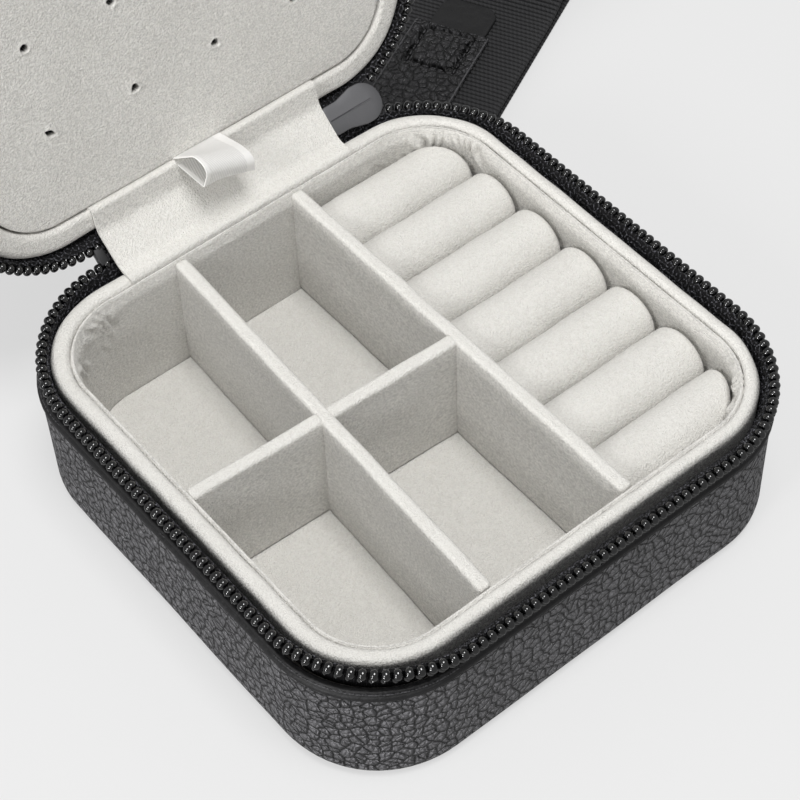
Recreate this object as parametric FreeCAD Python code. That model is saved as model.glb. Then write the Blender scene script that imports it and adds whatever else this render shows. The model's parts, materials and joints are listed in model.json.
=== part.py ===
import FreeCAD, Part
import math
import os

# Square zip-round jewellery case, standing open. Millimetres, +Z up, +X along the hinge,
# +Y from the front edge to the hinge, origin at the centre of the base's underside.

V = FreeCAD.Vector

# Outer case
case_width = 100.0             # leather to leather along the hinge
case_depth = 100.0             # leather to leather from front to hinge
case_corner_radius = 20.0
base_height = 30.0             # underside to the top of the base's velvet rim
lid_height = 20.0              # lid's velvet rim to the lid's outside
rim_gap = 3.0                  # between the two velvet rims when the lid is shut
open_angle = 101.0             # lid as it stands, counted from shut
shell_edge_radius = 5.0        # round of the leather where wall and bottom meet
round_limit = 0.46             # largest round on a piece, as a share of its thickness
touch = 1e-4                   # two heights nearer than this are the same

# Skins and boards, from outside to inside
leather = 1.2
card = 1.3
card_floor = 2.0
layer_gap = 0.1                # left between glued layers
rim_width = 3.05               # velvet-wrapped wall of the base
rim_round = 1.3
liner_thickness = 1.35         # loose velvet liner inside that wall
liner_round = 0.54
liner_drop = 0.6               # liner's top below the rim
floor_pad_thickness = 1.3
lid_rim_width = 4.7
lid_rim_round = 1.6
lid_lining_thickness = 1.25

# Turned leather edge above the wall
edge_drop = 4.4                # rim's top to the edge's top
edge_height = 3.0
edge_proud = 0.25
edge_round = 0.6

# Zip
card_drop = 6.0                # rim's top to the card's top, where the tape is glued in
tape_thickness = 0.5
coil_diameter = 2.2
coil_lean = 3.2                # coil's line outside the rim
coil_lean_hinge = 2.1          # the same on the hinge side
coil_corner_ease = 2.4         # extra radius of the coil's line at the corners
coil_clearance = 0.15
hinge_setback = 3.9            # rim's outside to the hinge line

# Hinge strip and spine
strip_width = 48.6
strip_thickness = 0.6
strip_bend = 2.5
spine_side_gap = 0.3           # spine's edge inside the strip's

# Zip slider, its crown and its pull, and the end stop
slider_length = 11.9
slider_wide = 7.5
slider_narrow = 5.7
slider_neck = 3.5              # length of the narrow tail
slider_plate = 0.9
slider_channel = 1.0
slider_post_length = 4.0
slider_post_width = 2.2
slider_clearance = 0.3
crown_length = 6.0
crown_height = 3.2
crown_wall = 1.1
crown_width = 1.8
pull_length = 20.0
pull_width = 5.6
pull_thickness = 1.2
pull_eye_length = 4.2
pull_eye_width = 2.9
pull_hole_diameter = 2.4
pull_clearance = 0.2
stop_length = 3.2
stop_width = 1.8
stop_thickness = 1.2

# Dividers
divider_thickness = 2.6
divider_drop = 0.6             # divider's top below the rim
divider_round = 1.0
divider_clearance = 0.25
divider_skew = 2.7             # the loose cross sits this many degrees askew
cross_x = -16.6                # where the cross's boards meet
cross_y = -0.2
ring_divider_x = 11.1          # middle of the ring divider

# Ring rolls
roll_count = 7
roll_gap = 0.25
roll_height = 12.2
roll_drop = 3.4                # roll's top below the rim
roll_crown_radius = 5.4
roll_foot_radius = 3.2
roll_end_radius = 3.0
roll_end_share = 0.3           # and at most this share of the rolls' pitch
roll_end_clearance = 0.6       # roll's domed end to the liner

# Earring panel and its ribbon
panel_gap = 0.9
panel_inset = 0.4              # panel's face behind the lid's rim
panel_thickness = 3.0
panel_round = 0.8
ledge_width = 3.4
ear_holes_per_side = 4
ear_hole_pitch = 17.0
ear_hole_diameter = 1.2
ear_grid_shift_x = -1.4
ear_grid_shift_y = -0.7
ribbon_width = 10.0
ribbon_thickness = 0.3
ribbon_left = -6.3
ribbon_reach = 8.6             # how far the loop stands out of the lid
ribbon_loop = 3.9              # height of the loop at its fold
ribbon_droop = 0.975           # tip of the loop below its other fold
ribbon_fold = 0.9
ribbon_root = 0.9              # length of each end behind the rim's face

# Carrying strap, lying behind the case
strap_angle = 26.5             # direction of the strap, from +X
strap_axis_offset = 35.8       # strap's middle line from the origin
webbing_width = 35.0
webbing_thickness = 1.7
webbing_start = 84.5           # along the strap, from the foot of the perpendicular
webbing_end = 166.0
webbing_rise = 11.0            # height of the loop's far end
webbing_lay = 0.35             # between the two layers where they are sewn
webbing_fold = 5.0
webbing_crest = 22.0           # loop's far end to where the upper layer starts down
webbing_sweep = 22.0           # radius of the upper layer's two bends
webbing_lift = 5.0             # from the tab's end to where the upper layer rises
tab_width = 17.2
tab_thickness = 1.3
tab_end = 113.0                # along the strap, as webbing_start
tab_flat_start = 83.0          # where the tab has turned flat
tab_round = 4.0
tab_wall_start = 6.0           # the tab's end sewn to the back wall, along X
tab_wall_end = 27.0
tab_wall_drop = 9.1            # wall's top to the middle of that end
tab_twist_steps = 12

# Worked out from the sizes above
half_x = case_width / 2
half_y = case_depth / 2
shut_middle = base_height + rim_gap / 2
card_inset = leather + layer_gap
rim_inset = card_inset + card + layer_gap
rim_inner_inset = rim_inset + rim_width
liner_inset = rim_inner_inset + layer_gap
tray_inset = liner_inset + liner_thickness
lining_foot = card_inset + card_floor + layer_gap
tray_floor = lining_foot + floor_pad_thickness
board_foot = tray_floor + layer_gap
edge_top = base_height - edge_drop
wall_top = edge_top - edge_height
card_top = base_height - card_drop
divider_top = base_height - divider_drop
rim_back = half_y - rim_inset
hinge_y = rim_back + hinge_setback
lid_top = base_height + rim_gap + lid_height
lid_rim_z = base_height + rim_gap
coil_radius = coil_diameter / 2
slider_tilt = 90.0 - open_angle / 2
slider_left = strip_width / 2
slider_right = slider_left + slider_length
slider_half = slider_channel / 2 + slider_plate
spine_width = strip_width - 2 * spine_side_gap
tab_wall_height = wall_top - tab_wall_drop
zip_right = slider_right + slider_clearance
zip_left = -(strip_width / 2 + stop_width + 2 * slider_clearance)
hinge_line = V(0, hinge_y, shut_middle)


def shut_mirror(z):
    """Height in the shut lid that answers to a height in the base."""
    return 2 * shut_middle - z


def opened(shape):
    """The shape turned about the hinge line from shut to standing open."""
    turned = shape.copy()
    turned.rotate(hinge_line, V(1, 0, 0), -open_angle)
    return turned


def rounded_wire(x0, x1, y0, y1, radius, z):
    """Closed rounded rectangle, as four lines and four quarter arcs."""
    edges = []
    slant = radius * math.sqrt(0.5)
    corners = [(x1 - radius, y1 - radius, 0), (x0 + radius, y1 - radius, 90),
               (x0 + radius, y0 + radius, 180), (x1 - radius, y0 + radius, 270)]
    spots = []
    for cx, cy, start in corners:
        a, b = math.radians(start), math.radians(start + 90)
        middle = math.radians(start + 45)
        spots.append((V(cx + radius * math.cos(a), cy + radius * math.sin(a), z),
                      V(cx + slant * math.copysign(1, math.cos(middle)),
                        cy + slant * math.copysign(1, math.sin(middle)), z),
                      V(cx + radius * math.cos(b), cy + radius * math.sin(b), z)))
    for here, after in zip(spots, spots[1:] + spots[:1]):
        edges.append(Part.Arc(*here).toShape())
        edges.append(Part.LineSegment(here[2], after[0]).toShape())
    return Part.Wire(edges)


def plan_wire(inset, z):
    """The case's plan, drawn in by an inset."""
    hx, hy = half_x - inset, half_y - inset
    return rounded_wire(-hx, hx, -hy, hy, case_corner_radius - inset, z)


def slab(inset, z0, z1):
    """The plan at an inset, as a solid between two heights."""
    return Part.Face(plan_wire(inset, z0)).extrude(V(0, 0, z1 - z0))


def ring(outer, inner, z0, z1):
    """A wall between two insets."""
    return slab(outer, z0, z1).cut(slab(inner, z0, z1))


def edges_at(shape, z):
    """Edges that lie level at one height."""
    return [e for e in shape.Edges
            if abs(e.BoundBox.ZMin - z) < touch and abs(e.BoundBox.ZMax - z) < touch]


def rounded_at(shape, z, radius):
    """The shape with its edges at one height rounded."""
    return shape.makeFillet(radius, edges_at(shape, z))


def box(x0, x1, y0, y1, z0, z1):
    return Part.makeBox(x1 - x0, y1 - y0, z1 - z0, V(x0, y0, z0))


def bent_side(points, radii, offset):
    """One side of a bent sheet: the lines and arcs at an offset to the left of its middle line."""
    edges = []
    start = None
    for i, point in enumerate(points):
        if i == 0 or i == len(points) - 1:
            along = (points[1] - points[0]) if i == 0 else (points[-1] - points[-2])
            along.normalize()
            spot = point + V(-along.y, along.x, 0) * offset
            if start is not None:
                edges.append(Part.LineSegment(start, spot).toShape())
            start = spot
            continue
        into = point - points[i - 1]
        out = points[i + 1] - point
        into.normalize()
        out.normalize()
        turn = math.atan2(into.x * out.y - into.y * out.x, into.dot(out))
        side = math.copysign(1, turn)
        reach = radii[i - 1] * math.tan(abs(turn) / 2)
        centre = point - into * reach + V(-into.y, into.x, 0) * (side * radii[i - 1])
        radius = radii[i - 1] - side * offset
        normal = V(-into.y, into.x, 0)
        bisector = out - into
        bisector.normalize()
        first = centre - normal * (side * radius)
        last = centre - V(-out.y, out.x, 0) * (side * radius)
        edges.append(Part.LineSegment(start, first).toShape())
        edges.append(Part.Arc(first, centre - bisector * radius, last).toShape())
        start = last
    return edges


def bent_sheet(points, radii, thickness, width):
    """A sheet that follows a bent middle line in the XY plane, carried up Z by its width."""
    spots = [V(x, y, 0) for x, y in points]
    left = bent_side(spots, radii, thickness / 2)
    right = bent_side(spots, radii, -thickness / 2)
    start = Part.LineSegment(right[0].Vertexes[0].Point, left[0].Vertexes[0].Point).toShape()
    finish = Part.LineSegment(left[-1].Vertexes[-1].Point, right[-1].Vertexes[-1].Point).toShape()
    outline = Part.Wire(Part.__sortEdges__(left + right + [start, finish]))
    return Part.Face(outline).extrude(V(0, 0, width))


def across(sheet, x0):
    """A sheet drawn in XY set upright, so that its drawing lies in YZ and its width runs along +X."""
    placed = sheet.copy()
    placed.Placement = FreeCAD.Placement(FreeCAD.Matrix(0, 0, 1, x0, 1, 0, 0, 0, 0, 1, 0, 0, 0, 0, 0, 1))
    return placed


def leather_shell(outside, wall_end):
    """Leather wall and flat panel, with a round edge between them, from the flat side to the wall's end."""
    inward = math.copysign(1, wall_end - outside)
    inside = outside + inward * leather
    outer = rounded_at(slab(0, outside, wall_end), outside, shell_edge_radius)
    inner = rounded_at(slab(leather, inside, wall_end), inside, shell_edge_radius - leather)
    return outer.cut(inner)


def card_tray(outside, wall_end):
    """Stiff card inside the leather."""
    inward = math.copysign(1, wall_end - outside)
    skin = outside + inward * card_inset
    outer = rounded_at(slab(card_inset, skin, wall_end), skin, shell_edge_radius - card_inset)
    return outer.cut(slab(card_inset + card, skin + inward * card_floor, wall_end))


def turned_edge(low, high, free):
    """Folded leather edge, a little proud of the wall, with its free side rounded."""
    return rounded_at(ring(-edge_proud, leather, low, high), free, edge_round)


def zip_line(z, lean, lean_hinge, radius, right, left):
    """The zip's line: from its right end round the right, front and left sides to its left end."""
    hx = half_x - rim_inset + lean
    front = -(half_y - rim_inset + lean)
    back = rim_back + lean_hinge
    slant = radius * math.sqrt(0.5)
    turn_y = front + radius - slant
    spots = [V(hx, back - radius, z), V(hx, front + radius, z), V(hx - radius + slant, turn_y, z),
             V(hx - radius, front, z), V(radius - hx, front, z), V(radius - hx - slant, turn_y, z),
             V(-hx, front + radius, z), V(-hx, back - radius, z)]

    def back_end(x, side):
        """Edges from an end on the hinge side to where the side of the case starts straight."""
        corner = V(side * (hx - radius), back - radius, z)
        over = side * x - (hx - radius)
        if over <= 0:
            middle = corner + V(side * slant, slant, 0)
            top = V(corner.x, back, z)
            return [Part.LineSegment(V(x, back, z), top).toShape(),
                    Part.Arc(top, middle, V(side * hx, back - radius, z)).toShape()]
        start = math.acos(over / radius)
        first = corner + V(side * radius * math.cos(start), radius * math.sin(start), 0)
        half = corner + V(side * radius * math.cos(start / 2), radius * math.sin(start / 2), 0)
        return [Part.Arc(first, half, V(side * hx, back - radius, z)).toShape()]

    edges = back_end(right, 1)
    edges.append(Part.LineSegment(spots[0], spots[1]).toShape())
    edges.append(Part.Arc(spots[1], spots[2], spots[3]).toShape())
    edges.append(Part.LineSegment(spots[3], spots[4]).toShape())
    edges.append(Part.Arc(spots[4], spots[5], spots[6]).toShape())
    edges.append(Part.LineSegment(spots[6], spots[7]).toShape())
    edges += back_end(left, -1)
    return Part.Wire(Part.__sortEdges__(edges))


def zip_coil(z):
    """The row of teeth, as one round bead along the zip's line."""
    radius = case_corner_radius - rim_inset + coil_lean + coil_corner_ease
    path = zip_line(z, coil_lean, coil_lean_hinge, radius, zip_right, zip_left)
    first = path.OrderedEdges[0]
    section = Part.Wire(Part.makeCircle(coil_radius, first.valueAt(first.FirstParameter),
                                        first.tangentAt(first.FirstParameter)))
    return path.makePipeShell([section], True, False)


def tape_skin(foot_z, top_z, offset):
    """Solid bounded by one side of the leaning tape."""
    foot_lean = tape_thickness / 2 + coil_clearance / 2
    run = math.hypot(coil_lean - foot_lean, top_z - foot_z)
    share = 1 - (coil_radius + coil_clearance) / run
    end_z = foot_z + (top_z - foot_z) * share
    end_lean = foot_lean + (coil_lean - foot_lean) * share
    end_hinge = foot_lean + (coil_lean_hinge - foot_lean) * share
    wires = []
    for z, lean, hinge_lean, ease in ((foot_z, foot_lean, foot_lean, 0),
                                      (end_z, end_lean, end_hinge, coil_corner_ease * share)):
        hx = half_x - rim_inset + lean + offset
        hy = half_y - rim_inset + offset
        radius = case_corner_radius - rim_inset + lean + ease + offset
        wires.append(rounded_wire(-hx, hx, -hy - lean, hy + hinge_lean, radius, z))
    return Part.makeLoft(wires, True, True)


def zip_tape(foot_z, top_z):
    """Woven tape that leans out from its glued foot to the coil, open along the hinge."""
    band = tape_skin(foot_z, top_z, tape_thickness / 2).cut(tape_skin(foot_z, top_z, -tape_thickness / 2))
    low, high = min(foot_z, top_z), max(foot_z, top_z)
    gap = box(zip_left, zip_right, rim_back - case_corner_radius, rim_back + case_corner_radius, low, high)
    return band.cut(gap)


def divider(length, x, y, turn):
    """Velvet-wrapped board standing on the floor pad, centred on a point and turned in plan."""
    half = divider_thickness / 2
    board = box(-length / 2, length / 2, -half, half, board_foot, divider_top)
    board = rounded_at(board, divider_top, divider_round)
    board.rotate(V(0, 0, 0), V(0, 0, 1), turn)
    board.translate(V(x, y, 0))
    return board


def along_skew(distance_x, distance_y):
    """A point of the askew cross, from its meeting point."""
    turn = math.radians(-divider_skew)
    return (cross_x + distance_x * math.cos(turn) - distance_y * math.sin(turn),
            cross_y + distance_x * math.sin(turn) + distance_y * math.cos(turn))


def dividers():
    """Middle board from front to back, a board on each side of it, and the board beside the rings."""
    tray_x, tray_y = half_x - tray_inset, half_y - tray_inset
    lean = math.cos(math.radians(divider_skew))
    tip = divider_thickness / 2 * math.sin(math.radians(divider_skew)) + divider_clearance
    back = (tray_y - tip - cross_y) / lean
    front = (tray_y - tip + cross_y) / lean
    face = divider_thickness / 2 + divider_clearance
    left = (tray_x - tip + cross_x) / lean
    right = (ring_divider_x - divider_thickness / 2 - tip - cross_x) / lean
    boards = {"ring_divider": divider(2 * (tray_y - divider_clearance), ring_divider_x, 0, 90)}
    middle = along_skew(0, (back - front) / 2)
    boards["middle_divider"] = divider(back + front, *middle, 90 - divider_skew)
    centre = along_skew(-(face + left) / 2, 0)
    boards["cross_divider_left"] = divider(left - face, *centre, -divider_skew)
    centre = along_skew((face + right) / 2, 0)
    boards["cross_divider_right"] = divider(right - face, *centre, -divider_skew)
    return boards


def roll_profile(x, y, width, z0, z1):
    """Upright section of a ring roll: flat foot, straight sides, broad round crown."""
    crown = min(roll_crown_radius, round_limit * width)
    foot = min(roll_foot_radius, round_limit * width)
    corners = ((y + width / 2 - crown, z1 - crown, crown, 0), (y - width / 2 + crown, z1 - crown, crown, 90),
               (y - width / 2 + foot, z0 + foot, foot, 180), (y + width / 2 - foot, z0 + foot, foot, 270))
    arcs = []
    for cy, cz, radius, start in corners:
        spots = [V(x, cy + radius * math.cos(math.radians(a)), cz + radius * math.sin(math.radians(a)))
                 for a in (start, start + 45, start + 90)]
        arcs.append(spots)
    edges = []
    for here, after in zip(arcs, arcs[1:] + arcs[:1]):
        edges.append(Part.Arc(*here).toShape())
        edges.append(Part.LineSegment(here[2], after[0]).toShape())
    return Part.Face(Part.Wire(edges))


def ring_bay():
    """Left edge of the ring bay, and its half length."""
    return ring_divider_x + divider_thickness / 2 + divider_clearance, half_y - tray_inset - divider_clearance


def ring_rolls():
    """Plump rolls side by side, with a domed end, trimmed to the tray's round corners."""
    bay_left, bay_half = ring_bay()
    pitch = 2 * bay_half / roll_count
    top = base_height - roll_drop
    end = half_x - tray_inset - roll_end_clearance
    room = slab(tray_inset + divider_clearance, 0, base_height)
    rolls = {}
    for i in range(roll_count):
        y = bay_half - pitch * (i + 0.5)
        roll = roll_profile(bay_left, y, pitch - roll_gap, top - roll_height, top)
        roll = roll.extrude(V(end - bay_left, 0, 0))
        tip = [e for e in roll.Edges if e.BoundBox.XMin > end - touch]
        roll = roll.makeFillet(min(roll_end_radius, roll_end_share * pitch), tip)
        rolls["ring_roll_%d" % (i + 1)] = roll.common(room)
    return rolls


def ring_bed():
    """Foam block that lifts the rolls."""
    bay_left, bay_half = ring_bay()
    top = base_height - roll_drop - roll_height - layer_gap
    block = box(bay_left, half_x, -half_y, half_y, board_foot, top)
    return block.common(slab(tray_inset + divider_clearance, board_foot, top))


def hinge_strip():
    """Velvet strip from the base's inner seam, over both rims, to the edge of the lid's panel."""
    seat = base_height + layer_gap + strip_thickness / 2
    seam = half_y - rim_inner_inset + layer_gap
    tuck = rim_back - lid_rim_width + layer_gap
    turn = -math.radians(open_angle)

    def lid_point(y, z):
        dy, dz = y - hinge_y, z - shut_middle
        return (hinge_y + dy * math.cos(turn) - dz * math.sin(turn),
                shut_middle + dy * math.sin(turn) + dz * math.cos(turn))

    edge = rim_back - layer_gap
    lid_seat = shut_mirror(seat)
    points = [(seam, seat), (edge, seat), lid_point(edge, lid_seat), lid_point(tuck, lid_seat)]
    sheet = bent_sheet(points, [strip_bend, strip_bend], strip_thickness, strip_width)
    return across(sheet, -strip_width / 2)


def hinge_spine():
    """Leather that joins the two walls behind the strip: an arc that leaves both walls in line with them."""
    start = edge_top + layer_gap
    wall_middle = half_y - leather / 2
    radius = hinge_y - wall_middle + (shut_middle - start) / math.tan(math.radians(open_angle / 2))
    centre = V(-spine_width / 2, wall_middle + radius, start)
    inner, outer = wall_middle - leather / 2, wall_middle + leather / 2
    corners = [V(centre.x, y, start) for y in (inner, outer)]
    far = [c + V(spine_width, 0, 0) for c in corners]
    face = Part.Face(Part.makePolygon([corners[0], corners[1], far[1], far[0], corners[0]]))
    return face.revolve(centre, V(1, 0, 0), -open_angle)


def on_slider(shape):
    """A shape drawn along X, across Y and outwards along -Z, set on the zip between the two tapes."""
    placed = shape.copy()
    placed.rotate(V(0, 0, 0), V(1, 0, 0), slider_tilt)
    placed.translate(V(slider_left, hinge_y, shut_middle))
    return placed


def slider_plate_outline(z):
    """Plate outline: narrow tail, swelling shoulders and a broad round nose."""
    tail, nose = slider_narrow / 2, slider_wide / 2
    neck = slider_neck
    shoulder = slider_length - nose
    slant = nose * math.sqrt(0.5)
    right = [V(0, -tail, z), V(neck, -tail, z), V(shoulder, -nose, z)]
    left = [V(shoulder, nose, z), V(neck, tail, z), V(0, tail, z)]
    edges = [Part.LineSegment(a, b).toShape() for a, b in zip(right, right[1:])]
    edges.append(Part.Arc(right[2], V(shoulder + slant, -slant, z), V(slider_length, 0, z)).toShape())
    edges.append(Part.Arc(V(slider_length, 0, z), V(shoulder + slant, slant, z), left[0]).toShape())
    edges += [Part.LineSegment(a, b).toShape() for a, b in zip(left, left[1:])]
    edges.append(Part.LineSegment(left[-1], right[0]).toShape())
    return Part.Face(Part.Wire(edges))


def zip_slider():
    """Two plates and the post that parts the zip between them."""
    upper = slider_plate_outline(slider_channel / 2).extrude(V(0, 0, slider_plate))
    lower = slider_plate_outline(-slider_half).extrude(V(0, 0, slider_plate))
    middle = slider_length / 2
    post = box(middle - slider_post_length / 2, middle + slider_post_length / 2,
               -slider_post_width / 2, slider_post_width / 2, -slider_channel / 2, slider_channel / 2)
    return on_slider(upper.fuse([lower, post]).removeSplitter())


def slider_crown():
    """Small bridge on the slider's outer plate."""
    middle = slider_length / 2
    outer = box(middle - crown_length / 2, middle + crown_length / 2, -crown_width / 2, crown_width / 2,
                -slider_half - crown_height, -slider_half)
    inner = box(middle - crown_length / 2 + crown_wall, middle + crown_length / 2 - crown_wall,
                -crown_width, crown_width, -slider_half - crown_height + crown_wall, -slider_half)
    return on_slider(outer.cut(inner))


def zip_pull():
    """Flat pull hanging from the crown by its eye."""
    middle = slider_length / 2
    pivot = -slider_half - (crown_height - crown_wall) / 2
    bar = min(pull_thickness, crown_height - crown_wall - 2 * pull_clearance) / 2
    half = pull_width / 2
    slant = half * math.sqrt(0.5)
    x = middle - bar
    tip = pivot - pull_length + half
    edges = [Part.LineSegment(V(x, half, tip), V(x, half, pivot + bar)).toShape(),
             Part.LineSegment(V(x, half, pivot + bar), V(x, -half, pivot + bar)).toShape(),
             Part.LineSegment(V(x, -half, pivot + bar), V(x, -half, tip)).toShape(),
             Part.Arc(V(x, -half, tip), V(x, -slant, tip - slant), V(x, 0, tip - half)).toShape(),
             Part.Arc(V(x, 0, tip - half), V(x, slant, tip - slant), V(x, half, tip)).toShape()]
    plate = Part.Face(Part.Wire(edges)).extrude(V(2 * bar, 0, 0))
    eye = box(x, x + 2 * bar, -pull_eye_width / 2, pull_eye_width / 2, pivot - pull_eye_length, pivot - bar)
    hole = Part.makeCylinder(pull_hole_diameter / 2, 2 * bar, V(x, 0, tip), V(1, 0, 0))
    return on_slider(plate.cut(eye).cut(hole))


def zip_end_stop():
    """Bar across the two tapes at the zip's left end."""
    stop = box(0, stop_width, -stop_length / 2, stop_length / 2, -stop_thickness / 2, stop_thickness / 2)
    stop.rotate(V(0, 0, 0), V(1, 0, 0), slider_tilt)
    stop.translate(V(zip_left + slider_clearance, hinge_y, shut_middle))
    return stop


def earring_panel():
    """Padded panel with a grid of small ear holes."""
    face = lid_rim_z + panel_inset
    panel = slab(rim_inset + lid_rim_width + panel_gap, face, face + panel_thickness)
    panel = rounded_at(panel, face, panel_round)
    first = -(ear_holes_per_side - 1) / 2 * ear_hole_pitch
    holes = []
    for i in range(ear_holes_per_side):
        for j in range(ear_holes_per_side):
            x = ear_grid_shift_x + first + i * ear_hole_pitch
            y = ear_grid_shift_y + first + j * ear_hole_pitch
            holes.append(Part.makeCylinder(ear_hole_diameter / 2, panel_thickness, V(x, y, face)))
    return panel.cut(holes)


def ribbon_pull():
    """Satin ribbon folded into a loop, with both ends in the gap beside the panel."""
    near = rim_back - lid_rim_width - panel_gap / 2 + ribbon_thickness
    far = near - 2 * ribbon_thickness
    root, tip = lid_rim_z + ribbon_root, lid_rim_z - ribbon_reach
    points = [(near, root), (near, tip), (far - ribbon_loop, tip + ribbon_droop),
              (far, lid_rim_z - ribbon_root), (far, root)]
    sheet = bent_sheet(points, [ribbon_fold, ribbon_fold, ribbon_fold], ribbon_thickness, ribbon_width)
    return across(sheet, ribbon_left)


def on_strap(sheet, width):
    """A sheet drawn along the strap and upwards, set across the strap's middle line."""
    placed = sheet.copy()
    placed.rotate(V(0, 0, 0), V(1, 0, 0), 90)
    placed.translate(V(0, strap_axis_offset + width / 2, 0))
    placed.rotate(V(0, 0, 0), V(0, 0, 1), strap_angle)
    return placed


def strap_levels():
    """Middle heights of the lower webbing, the upper webbing, and the tab on top of it."""
    lower = webbing_thickness / 2
    upper = lower + webbing_thickness + webbing_lay
    return lower, upper, upper + webbing_thickness / 2 + layer_gap + tab_thickness / 2


def strap_webbing():
    """Webbing laid double: along the floor, round the loop's far end and back on top."""
    lower, upper, _ = strap_levels()
    top = lower + webbing_rise
    sewn = tab_end + webbing_lift
    points = [(webbing_start, lower), (webbing_end, lower), (webbing_end, top),
              (webbing_end - webbing_crest, top), (sewn, upper), (webbing_start, upper)]
    radii = [webbing_fold, webbing_fold, webbing_sweep, webbing_sweep]
    return on_strap(bent_sheet(points, radii, webbing_thickness, webbing_width), webbing_width)


def strap_point(along, z):
    """A point of the strap's middle line."""
    turn = math.radians(strap_angle)
    return V(along * math.cos(turn) - strap_axis_offset * math.sin(turn),
             along * math.sin(turn) + strap_axis_offset * math.cos(turn), z)


def tab_section(spot, along, twist):
    """The tab's cross section: upright against the wall at no twist, flat on the strap at a quarter turn."""
    level = V(-along.y, along.x, 0)
    level.normalize()
    up = along.cross(level)
    up.normalize()
    face = level * math.cos(twist) + up * math.sin(twist)
    width = up * math.cos(twist) - level * math.sin(twist)
    corners = [spot + width * (a * tab_width / 2) + face * (b * tab_thickness / 2)
               for a, b in ((-1, -1), (1, -1), (1, 1), (-1, 1))]
    return Part.makePolygon(corners + corners[:1])


def strap_tab():
    """Leather tab: sewn upright on the back wall, twisted a quarter turn, and sewn flat on the webbing."""
    _, _, top = strap_levels()
    turn = math.radians(strap_angle)
    wall_y = half_y + layer_gap + tab_thickness / 2
    leaves, lands = V(tab_wall_end, wall_y, tab_wall_height), strap_point(tab_flat_start, top)
    pull_out = leaves.distanceToPoint(lands)
    go, arrive = V(pull_out, 0, 0), V(pull_out * math.cos(turn), pull_out * math.sin(turn), 0)
    sections = [tab_section(V(tab_wall_start, wall_y, tab_wall_height), go, 0)]
    for i in range(tab_twist_steps + 1):
        s = i / tab_twist_steps
        ease = s * s * (3 - 2 * s)
        spot = leaves * (1 - ease) + lands * ease
        spot = spot + go * (s * (1 - s) ** 2) - arrive * (s * s * (1 - s))
        along = (lands - leaves) * (6 * s * (1 - s))
        along = along + go * ((1 - s) * (1 - 3 * s)) + arrive * (s * (3 * s - 2))
        sections.append(tab_section(spot, along, ease * math.pi / 2))
    sections.append(tab_section(strap_point(tab_end, top), arrive, math.pi / 2))
    return Part.makeLoft(sections, True, True).cut(tab_corners())


def tab_corners():
    """What the round corners of the tab's end leave over."""
    half = tab_width / 2
    block = box(tab_end - tab_round, tab_end + tab_round, -half - tab_round, half + tab_round, 0, base_height)
    keep = Part.Face(rounded_wire(tab_end - tab_width, tab_end, -half, half, tab_round, 0))
    rest = block.cut(keep.extrude(V(0, 0, base_height)))
    rest.translate(V(0, strap_axis_offset, 0))
    rest.rotate(V(0, 0, 0), V(0, 0, 1), strap_angle)
    return rest


def base_pieces():
    rim = ring(rim_inset, rim_inner_inset, lining_foot, base_height)
    liner_top = base_height - liner_drop
    liner = ring(liner_inset, tray_inset, lining_foot, liner_top)
    pieces = {
        "base_leather": leather_shell(0, wall_top),
        "base_leather_edge": turned_edge(wall_top, edge_top, edge_top),
        "base_card": card_tray(0, card_top),
        "base_zip_tape": zip_tape(card_top + layer_gap, base_height),
        "base_zip_coil": zip_coil(base_height),
        "base_velvet_rim": rounded_at(rim, base_height, min(rim_round, round_limit * rim_width)),
        "base_liner": rounded_at(liner, liner_top, min(liner_round, round_limit * liner_thickness)),
        "floor_pad": slab(tray_inset + layer_gap, lining_foot, tray_floor),
        "ring_bed": ring_bed(),
        "hinge_strip": hinge_strip(),
        "hinge_spine": hinge_spine(),
        "zip_slider": zip_slider(),
        "slider_crown": slider_crown(),
        "zip_pull": zip_pull(),
        "zip_end_stop": zip_end_stop(),
        "strap_tab": strap_tab(),
        "strap_webbing": strap_webbing(),
    }
    pieces.update(dividers())
    pieces.update(ring_rolls())
    return pieces


def lid_pieces():
    """The lid, drawn shut over the base and then opened."""
    card_end = shut_mirror(card_top)
    edge_low, edge_high = shut_mirror(edge_top), shut_mirror(wall_top)
    lining_top = lid_top - card_inset - card_floor - layer_gap
    lining_low = lining_top - lid_lining_thickness
    frame_top = lining_low - layer_gap
    ledge_inset = rim_inset + lid_rim_width + layer_gap
    ledge_low = lid_rim_z + panel_inset + panel_thickness + layer_gap
    frame = ring(rim_inset, rim_inset + lid_rim_width, lid_rim_z, frame_top)
    shut = {
        "lid_leather": leather_shell(lid_top, edge_high),
        "lid_leather_edge": turned_edge(edge_low, edge_high, edge_low),
        "lid_card": card_tray(lid_top, card_end),
        "lid_zip_tape": zip_tape(card_end - layer_gap, lid_rim_z),
        "lid_zip_coil": zip_coil(lid_rim_z),
        "lid_velvet_rim": rounded_at(frame, lid_rim_z, min(lid_rim_round, round_limit * lid_rim_width)),
        "lid_ledge": ring(ledge_inset, ledge_inset + ledge_width, ledge_low, frame_top),
        "lid_lining": slab(rim_inset, lining_low, lining_top),
        "earring_panel": earring_panel(),
        "ribbon_pull": ribbon_pull(),
    }
    return {name: opened(shape) for name, shape in shut.items()}


def main():
    os.makedirs("parts", exist_ok=True)
    pieces = base_pieces()
    pieces.update(lid_pieces())
    for name, shape in pieces.items():
        solids = shape.Solids
        shape = solids[0] if len(solids) == 1 else Part.makeCompound(solids)
        shape.exportStep(os.path.join("parts", name + ".step"))
        print("%-20s solids %d  volume %9.2f  valid %s" % (name, len(solids), shape.Volume, shape.isValid()))


main()
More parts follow.
